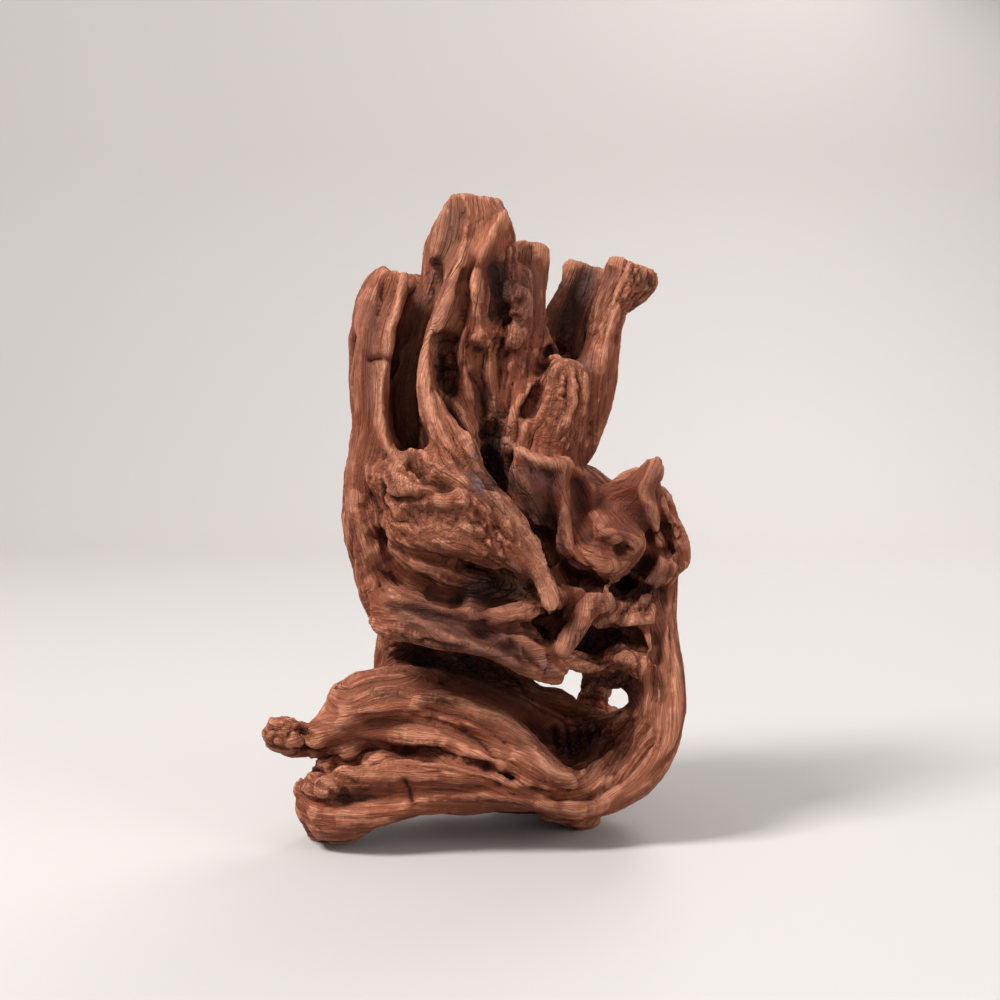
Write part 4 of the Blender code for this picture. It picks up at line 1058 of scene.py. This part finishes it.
def grow(node, wood):
    """The finished mesh of the wood: the node with its skin, thinned out again."""
    made = fine_copy(node, "wood", wood.grid, wood.softening)
    mesh = made.data
    skin = Skin(mesh)
    skin.normals = skin.spread(skin.normals, NORMAL_SPREAD)
    seen = [seen_share(skin, eye, axis) for eye, axis, _, _ in SIDES]
    grain = Grain(skin, seen)
    put_points(mesh, skin.points + skin.normals * relief(skin, seen, grain, wood)[:, None])
    mesh.calc_loop_triangles()
    modified(made, "DECIMATE", ratio=min(1, wood.most_triangles / len(mesh.loop_triangles)),
             use_collapse_triangulate=True)
    put_points(made.data, Skin(made.data).points)
    give_patterns(node, made.data, grain)
    made.data.polygons.foreach_set("use_smooth", [True] * len(made.data.polygons))
    return made


def cove(stage):
    """The floor, which bends up into a wall behind."""
    bm = bmesh.new()
    profile = [(-FLOOR_FRONT, 0.0)]
    for k in range(COVE_STEPS + 1):
        angle = math.pi / 2 * k / COVE_STEPS
        profile.append((stage.wall + stage.bend * (math.sin(angle) - 1),
                        stage.bend * (1 - math.cos(angle))))
    profile.append((stage.wall, WALL_TOP))
    verts = [bm.verts.new((-FLOOR_HALF, y, z)) for y, z in profile]
    edges = [bm.edges.new(pair) for pair in zip(verts, verts[1:])]
    made = bmesh.ops.extrude_edge_only(bm, edges=edges)
    moved = [item for item in made["geom"] if isinstance(item, bmesh.types.BMVert)]
    bmesh.ops.translate(bm, verts=moved, vec=(2 * FLOOR_HALF, 0, 0))
    bmesh.ops.recalc_face_normals(bm, faces=bm.faces)
    if sum(face.normal.z for face in bm.faces) < 0:
        bmesh.ops.reverse_faces(bm, faces=bm.faces)
    for face in bm.faces:
        face.smooth = True
    mesh = bpy.data.meshes.new("floor")
    bm.to_mesh(mesh)
    bm.free()
    return mesh


class Value:
    """A value that changes over the surface, and that can be added, multiplied and taken off."""

    def __init__(self, tree, socket):
        self.tree = tree
        self.socket = socket

    def __add__(self, other):
        return self.tree.math("ADD", self, other)

    def __mul__(self, other):
        return self.tree.math("MULTIPLY", self, other)

    def __sub__(self, other):
        return self.tree.math("SUBTRACT", self, other)

    def __rsub__(self, other):
        return self.tree.math("SUBTRACT", other, self)


class Tree:
    """A node tree that is filled in node by node, each one fed by numbers or other nodes."""

    def __init__(self, tree):
        self.tree = tree

    def feed(self, slot, value):
        """Gives an input a number or a colour, or links it to what another node puts out."""
        if isinstance(value, Value):
            value = value.socket
        if isinstance(value, bpy.types.NodeSocket):
            self.tree.links.new(value, slot)
        else:
            slot.default_value = value

    def add(self, kind, inputs, **settings):
        """A new node with these settings and inputs."""
        node = self.tree.nodes.new(kind)
        for name, value in settings.items():
            setattr(node, name, value)
        for name, value in inputs.items():
            self.feed(node.inputs[name], value)
        return node

    def math(self, operation, *values):
        """What comes out when these values are reckoned with."""
        node = self.add("ShaderNodeMath", dict(enumerate(values)), operation=operation)
        return Value(self, node.outputs[0])

    def vector(self, operation, inputs):
        """What comes out when these vectors are reckoned with."""
        return self.add("ShaderNodeVectorMath", inputs, operation=operation).outputs[0]

    def noise(self, place, **inputs):
        """A flat noise on the grain's coordinates."""
        return self.add("ShaderNodeTexNoise", {"Vector": place, **inputs},
                        noise_dimensions="2D").outputs

    def ramp(self, value, low, high, start=0.0, end=1.0):
        """A value that runs smoothly from start to end while the given one runs from low to high."""
        inputs = {"Value": value, "From Min": low, "From Max": high, "To Min": start, "To Max": end}
        node = self.add("ShaderNodeMapRange", inputs, interpolation_type="SMOOTHSTEP")
        return Value(self, node.outputs[0])

    def contrasted(self, value, contrast):
        """A value from 0 to 1 with all but its middle stretched out of sight."""
        return self.ramp(value, self.math("SUBTRACT", 0.5, contrast), self.math("ADD", 0.5, contrast))

    def mix(self, share, first, second):
        """The first colour where the share is 0, and the second where it is 1."""
        return self.add("ShaderNodeMix", {0: share, 6: first, 7: second}, data_type="RGBA").outputs[2]

    def read(self, name, output="Fac"):
        """What the mesh keeps under a name."""
        return Value(self, self.add("ShaderNodeAttribute", {}, attribute_name=name).outputs[output])

    def place(self, group, inputs):
        """A group's value, with its inputs by their labels."""
        node = self.tree.nodes.new("ShaderNodeGroup")
        node.node_tree = group
        for label, value in inputs.items():
            self.feed(node.inputs[label], value)
        return Value(self, node.outputs["Value"])


def new_group(name, inputs, make):
    """A node group that puts out one value, made from its inputs; those without a number are vectors."""
    group = bpy.data.node_groups.new(name, "ShaderNodeTree")
    for label, value in inputs.items():
        kind = "NodeSocketVector" if value is None else "NodeSocketFloat"
        socket = group.interface.new_socket(label, in_out="INPUT", socket_type=kind)
        if value is not None:
            socket.default_value = value
    group.interface.new_socket("Value", in_out="OUTPUT", socket_type="NodeSocketFloat")
    tree = Tree(group)
    given = tree.add("NodeGroupInput", {}).outputs
    tree.add("NodeGroupOutput", {"Value": make(tree, given)})
    return group


def stretched(tree, given):
    """The grain's coordinates, drawn out by the group's two scales."""
    scale = tree.add("ShaderNodeCombineXYZ", {"X": given["Across"], "Y": given["Along"], "Z": 1.0})
    return tree.vector("MULTIPLY", {0: given["Grain"], 1: scale.outputs[0]})


def fibre_value(tree, given):
    """Fibres: a noise drawn out along the grain, from 0 to 1."""
    noise = tree.noise(stretched(tree, given), Scale=1.0, Detail=given["Detail"], Roughness=0.6,
                       Distortion=given["Waver"])
    return tree.contrasted(noise[0], given["Contrast"])


def crack_value(tree, given):
    """Cracks: the thin lines between long cells along the grain, from 0 to 1 in a crack."""
    place = stretched(tree, given)
    waver = tree.noise(place, Scale=1.7, Detail=1.0)["Color"]
    pushed = tree.vector("ADD", {0: waver, 1: (-0.5, -0.5, -0.5)})
    pushed = tree.vector("SCALE", {0: pushed, "Scale": given["Waver"]})
    moved = tree.vector("ADD", {0: place, 1: pushed})
    cells = tree.add("ShaderNodeTexVoronoi", {"Vector": moved, "Scale": 1.0},
                     voronoi_dimensions="2D", feature="DISTANCE_TO_EDGE")
    line = tree.ramp(cells.outputs["Distance"], 0.0, given["Width"], 1.0, 0.0)
    patch = tree.noise(place, Scale=0.8, Detail=1.0)[0]
    edge = tree.math("SUBTRACT", 1.0, given["Share"])
    return line * tree.ramp(patch, edge - 0.1, edge + 0.1)


def pore_value(tree, given):
    """Crumbs and pores: an even fine noise over the surface, from 0 to 1."""
    noise = tree.add("ShaderNodeTexNoise", {
        "Vector": given["Place"], "Scale": tree.math("DIVIDE", 1.0, given["Size"]), "Detail": 3.0,
        "Roughness": 0.65})
    return tree.contrasted(noise.outputs[0], given["Contrast"])


def weighed(parts, shares):
    """The sum of some of the parts, each times its share."""
    total, *others = (parts[name] * share for name, share in shares.items())
    for other in others:
        total = total + other
    return total


def wood_material(wood):
    """Weathered root wood: fibres and cracks along the grain, char, worn ridges and scuffs, painted shade
    in hollows and painted light on tops.
    """
    material = bpy.data.materials.new("weathered wood")
    material.use_nodes = True
    tree = Tree(material.node_tree)
    shader = material.node_tree.nodes["Principled BSDF"]
    grain = tree.read("grain", "Vector")
    spot = tree.add("ShaderNodeTexCoord", {}).outputs["Object"]
    parts = {name: tree.read(name) for name in AREAS}
    for name, (kept, low, high) in RAMPS.items():
        parts[name] = tree.ramp(tree.read(kept), low, high)
    for name, make, patterns, label, place in (
            ("fibres", fibre_value, FIBRES, "Grain", grain),
            ("cracks", crack_value, CRACKS, "Grain", grain),
            ("pores", pore_value, PORES, "Place", spot)):
        plain = next(iter(patterns.values()))
        group = new_group(name, {label: None, **plain}, make)
        for key, inputs in patterns.items():
            parts[key] = tree.place(group, {label: place, **inputs})
    smooth, crumb = parts["smooth"], parts["crumb"]
    rough = 1 - smooth

    # Worn: pale wear on ridges, edges and pale places, and painted light on faces that look up.
    worn = weighed(parts, WEAR_AND_TOP_LIGHT) * (1 - parts["darkened"] * (1 - WORN_IF_PAINTED_SHADE))
    worn = (worn + parts["pale"] * PALE_WEAR) * (parts["thread"] * 0.7 + 0.3)
    worn = tree.math("MINIMUM", worn * (1 - smooth * (1 - WORN_IF_SMOOTH)), 1.0)
    # Painted shade in narrow holes, hollows, pits and on undersides, partly the hollows' own darker
    # colour; pale and worn-edge places keep most of it off.
    light = tree.math("MAXIMUM", parts["pale"], parts["worn_edge"]) * (1 - SHADE_IF_WORN)
    dark = tree.math("MINIMUM", weighed(parts, HOLLOW_AND_UNDER_SHADE), 1.0) * (1 - light)
    calm = tree.math("MAXIMUM", smooth, parts["calm"]) * (1 - SPLIT_IF_CALM)
    split = parts["long_crack"] * TINT["long crack"] * (1 - calm)
    split = tree.math("MAXIMUM", split, parts["plate_crack"] * parts["charred"] * rough)

    # Each layer lies on those before it: its share and its colour.
    colour = tree.mix(parts["broad"], wood.dark, wood.body)
    for share, tint in (
            (parts["middle"] * TINT["light middle"], wood.light),
            (parts["blotch"] * TINT["light blotch"], wood.light),
            (parts["fine"] * TINT["light fine"] * rough, wood.light),
            (smooth * TINT["skin"], wood.skin),
            ((1 - parts["streak"]) * TINT["dark streak"], wood.dark),
            ((1 - parts["fine"]) * TINT["dark fine"], wood.dark),
            ((1 - parts["thread"]) * TINT["dark thread"] * rough, wood.dark),
            ((1 - crumb) * TINT["dark crumb"], wood.dark),
            (parts["greyed"] * (parts["broad"] * 0.5 + 0.35), wood.grey),
            # Painted shade on faces that lie in shade.
            (parts["darkened"], wood.shade),
            (worn, wood.worn),
            (parts["worn_edge"] * (crumb * 0.6 + 0.35), wood.edge),
            (parts["scuffed"] * (crumb + 0.4), wood.scuff),
            # Painted shade in hollows and on undersides.
            (dark * TINT["recess"], wood.recess),
            # Char, which in hollows and caves is partly painted shade.
            (parts["charred"] * (crumb * 0.6 + 0.5), wood.char),
            (split, wood.crack)):
        colour = tree.mix(share, colour, tint)

    height = weighed(parts, HEIGHT) + parts["fine"] * FINE_HEIGHT * rough
    height = height + crumb * parts["burled"] * BURL_HEIGHT - split * SPLIT_DEPTH
    bump = tree.add("ShaderNodeBump", {"Height": height, "Strength": 1.0, "Distance": MM})
    roughness = ROUGHNESS - smooth * SMOOTH_GLOSS - worn * WORN_GLOSS
    for slot, value in (("Base Color", colour), ("Normal", bump.outputs[0]),
                        ("Roughness", roughness), ("Specular IOR Level", SPECULAR)):
        tree.feed(shader.inputs[slot], value)
    return material


def linear(red, green, blue):
    """A colour of 0 to 255 as Blender's own linear colour."""
    parts = [value / 255 for value in (red, green, blue)]
    return (*(part / 12.92 if part < 0.04 else ((part + 0.055) / 1.055) ** 2.4 for part in parts), 1)


def colour_property(name, description, *parts):
    """A property for a colour, with its red, green and blue from 0 to 255."""
    return FloatVectorProperty(name=name, description=description, default=linear(*parts), size=4,
                               subtype="COLOR", min=0, max=1)


def number_property(name, description, default, least=0, **settings):
    """A property for a number that has a least value."""
    return FloatProperty(name=name, description=description, default=default, min=least, **settings)


class DRIFTWOOD_PG_wood(PropertyGroup):
    grid: number_property(
        "Grid", "Size of the skin's cells before it is thinned out", 0.0006, 0.0004, unit="LENGTH")
    softening: IntProperty(
        name="Softening", description="How often the skin is evened out before the relief",
        default=3, min=0)
    most_triangles: IntProperty(
        name="Most Triangles", description="How many triangles the finished wood may have",
        default=196000, min=1000, max=199000)
    furrow_depth: number_property(
        "Furrow Depth", "Depth of the furrows along the grain", 0.0006, unit="LENGTH")
    flute_depth: number_property(
        "Flute Depth", "Height of the broad waves along the grain", 0.0003, unit="LENGTH")
    burl_depth: number_property(
        "Burl Depth", "Depth of the crumbly waves in burled wood", 0.0017, unit="LENGTH")
    crevice_depth: number_property(
        "Crevice Depth", "Depth of the narrow crevices between furrows", 0.0009, unit="LENGTH")
    crispness: number_property("Crispness", "How far edges and valleys are made crisper", 0.9, max=2)
    seed: IntProperty(name="Seed", description="Which furrows and fibres are drawn", default=11)
    body: colour_property("Body", "The wood's own colour", 154, 82, 54)
    light: colour_property("Light Fibres", "The lighter fibres", 188, 111, 78)
    dark: colour_property("Dark Fibres", "The darker fibres", 104, 50, 34)
    skin: colour_property("Smooth Skin", "Smooth, dark red wood", 98, 44, 33)
    # Also the colour of the painted light on faces that look up.
    worn: colour_property("Worn Ridges and Top Light", "Ridges and rims worn pale", 214, 144, 112)
    grey: colour_property("Greyed", "Weathered, greyish brown wood", 122, 92, 76)
    edge: colour_property("Worn Edges", "The thinnest worn edges", 220, 156, 126)
    # The colour of the painted shade on faces that lie in shade.
    shade: colour_property("Painted Shade", "Faces that lie darker", 68, 32, 22)
    # Painted shade in hollows, narrow holes, pits and on undersides, partly the hollows' own darker
    # colour.
    recess: colour_property("Hollow and Underside Shade", "The floors of hollows", 54, 25, 18)
    # In hollows and caves the char is partly painted shade.
    char: colour_property("Char", "Charred, barky places", 58, 44, 42)
    crack: colour_property("Cracks", "The inside of cracks", 44, 24, 20)
    scuff: colour_property("Scuffs", "Greyish lavender scuffs", 150, 122, 126)


class DRIFTWOOD_PG_stage(PropertyGroup):
    eye: FloatVectorProperty(
        name="Eye", description="Where the camera stands",
        default=(0.00644, -0.47982, 0.134), subtype="TRANSLATION", unit="LENGTH")
    pitch: FloatProperty(
        name="Pitch", description="How far the camera is tipped up from looking straight down",
        default=math.radians(85), subtype="ANGLE")
    lens: number_property("Lens", "Focal length on a 36 mm film, in millimetres", 61.2, 1)
    wall: number_property("Wall", "How far behind the wood the wall stands", 0.95, unit="LENGTH")
    bend: number_property("Bend", "Radius of the bend between floor and wall", 0.3, unit="LENGTH")
    sky: number_property("Sky", "Strength of the even light from all round", 0.42)
    key: number_property("Key", "Power of the soft light at the upper left", 14.5, unit="POWER")
    fill: number_property("Fill", "Power of the weak light at the right", 3.5, unit="POWER")
    back: number_property("Back", "Power of the weak light behind the wood", 4.5, unit="POWER")
    floor: colour_property("Floor", "Colour of the floor", 200, 195, 192)


class DRIFTWOOD_OT_grow_wood(Operator):
    """Gives the solid its weathered skin and its material"""

    bl_idname = "driftwood.grow_wood"
    bl_label = "Weathered Wood"

    def execute(self, context):
        wood = context.scene.driftwood_wood
        made = grow(frame["nodes"]["driftwood"], wood)
        made.data.materials.clear()
        made.data.materials.append(wood_material(wood))
        if len(made.data.polygons) > wood.most_triangles:
            raise RuntimeError("the wood has too many triangles")
        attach(made, "root")
        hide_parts("driftwood")
        return {"FINISHED"}


class DRIFTWOOD_OT_set_stage(Operator):
    """Sets the floor, the soft light and the camera"""

    bl_idname = "driftwood.set_stage"
    bl_label = "Studio"

    def execute(self, context):
        stage = context.scene.driftwood_stage
        linked = context.scene.collection.objects
        floor = bpy.data.objects.new("floor", cove(stage))
        linked.link(floor)
        material = bpy.data.materials.new("floor")
        material.use_nodes = True
        shader = material.node_tree.nodes["Principled BSDF"]
        shader.inputs["Base Color"].default_value = stage.floor
        shader.inputs["Roughness"].default_value = FLOOR_ROUGHNESS
        floor.data.materials.append(material)
        world = bpy.data.worlds.new("studio")
        world.use_nodes = True
        world.node_tree.nodes["Background"].inputs["Color"].default_value = SKY_COLOUR
        world.node_tree.nodes["Background"].inputs["Strength"].default_value = stage.sky
        context.scene.world = world
        for name, (place, size) in LIGHTS.items():
            light = bpy.data.objects.new(name, bpy.data.lights.new(name, "AREA"))
            light.data.energy = getattr(stage, name)
            light.data.size = size
            light.location = place
            light.rotation_euler = (Vector(place) - LIT_SPOT).to_track_quat("Z", "Y").to_euler()
            linked.link(light)
        camera = bpy.data.objects.new("camera", bpy.data.cameras.new("camera"))
        camera.location = stage.eye
        camera.rotation_euler = (stage.pitch, 0, 0)
        camera.data.lens = stage.lens
        camera.data.sensor_width = FILM_WIDTH
        camera.data.clip_start = NEAREST_SEEN
        linked.link(camera)
        context.scene.camera = camera
        context.scene.view_settings.view_transform = "Standard"
        return {"FINISHED"}


class DRIFTWOOD_PT_panel(Panel):
    """The wood and its studio"""

    bl_idname = "DRIFTWOOD_PT_panel"
    bl_label = "Aquarium Driftwood"
    bl_space_type = "VIEW_3D"
    bl_region_type = "UI"
    bl_category = "Driftwood"

    def draw(self, context):
        for settings, operator in PIECES:
            group = getattr(context.scene, settings)
            self.layout.operator(operator)
            for name in type(group).__annotations__:
                self.layout.prop(group, name)


PIECES = (("driftwood_wood", "driftwood.grow_wood"), ("driftwood_stage", "driftwood.set_stage"))
CLASSES = (DRIFTWOOD_PG_wood, DRIFTWOOD_PG_stage, DRIFTWOOD_OT_grow_wood, DRIFTWOOD_OT_set_stage,
           DRIFTWOOD_PT_panel)


def register():
    for made in CLASSES:
        bpy.utils.register_class(made)
    bpy.types.Scene.driftwood_wood = PointerProperty(type=DRIFTWOOD_PG_wood)
    bpy.types.Scene.driftwood_stage = PointerProperty(type=DRIFTWOOD_PG_stage)


def unregister():
    del bpy.types.Scene.driftwood_stage
    del bpy.types.Scene.driftwood_wood
    for made in reversed(CLASSES):
        bpy.utils.unregister_class(made)


def main():
    register()
    bpy.ops.driftwood.grow_wood()
    bpy.ops.driftwood.set_stage()


if __name__ == "__main__":
    main()
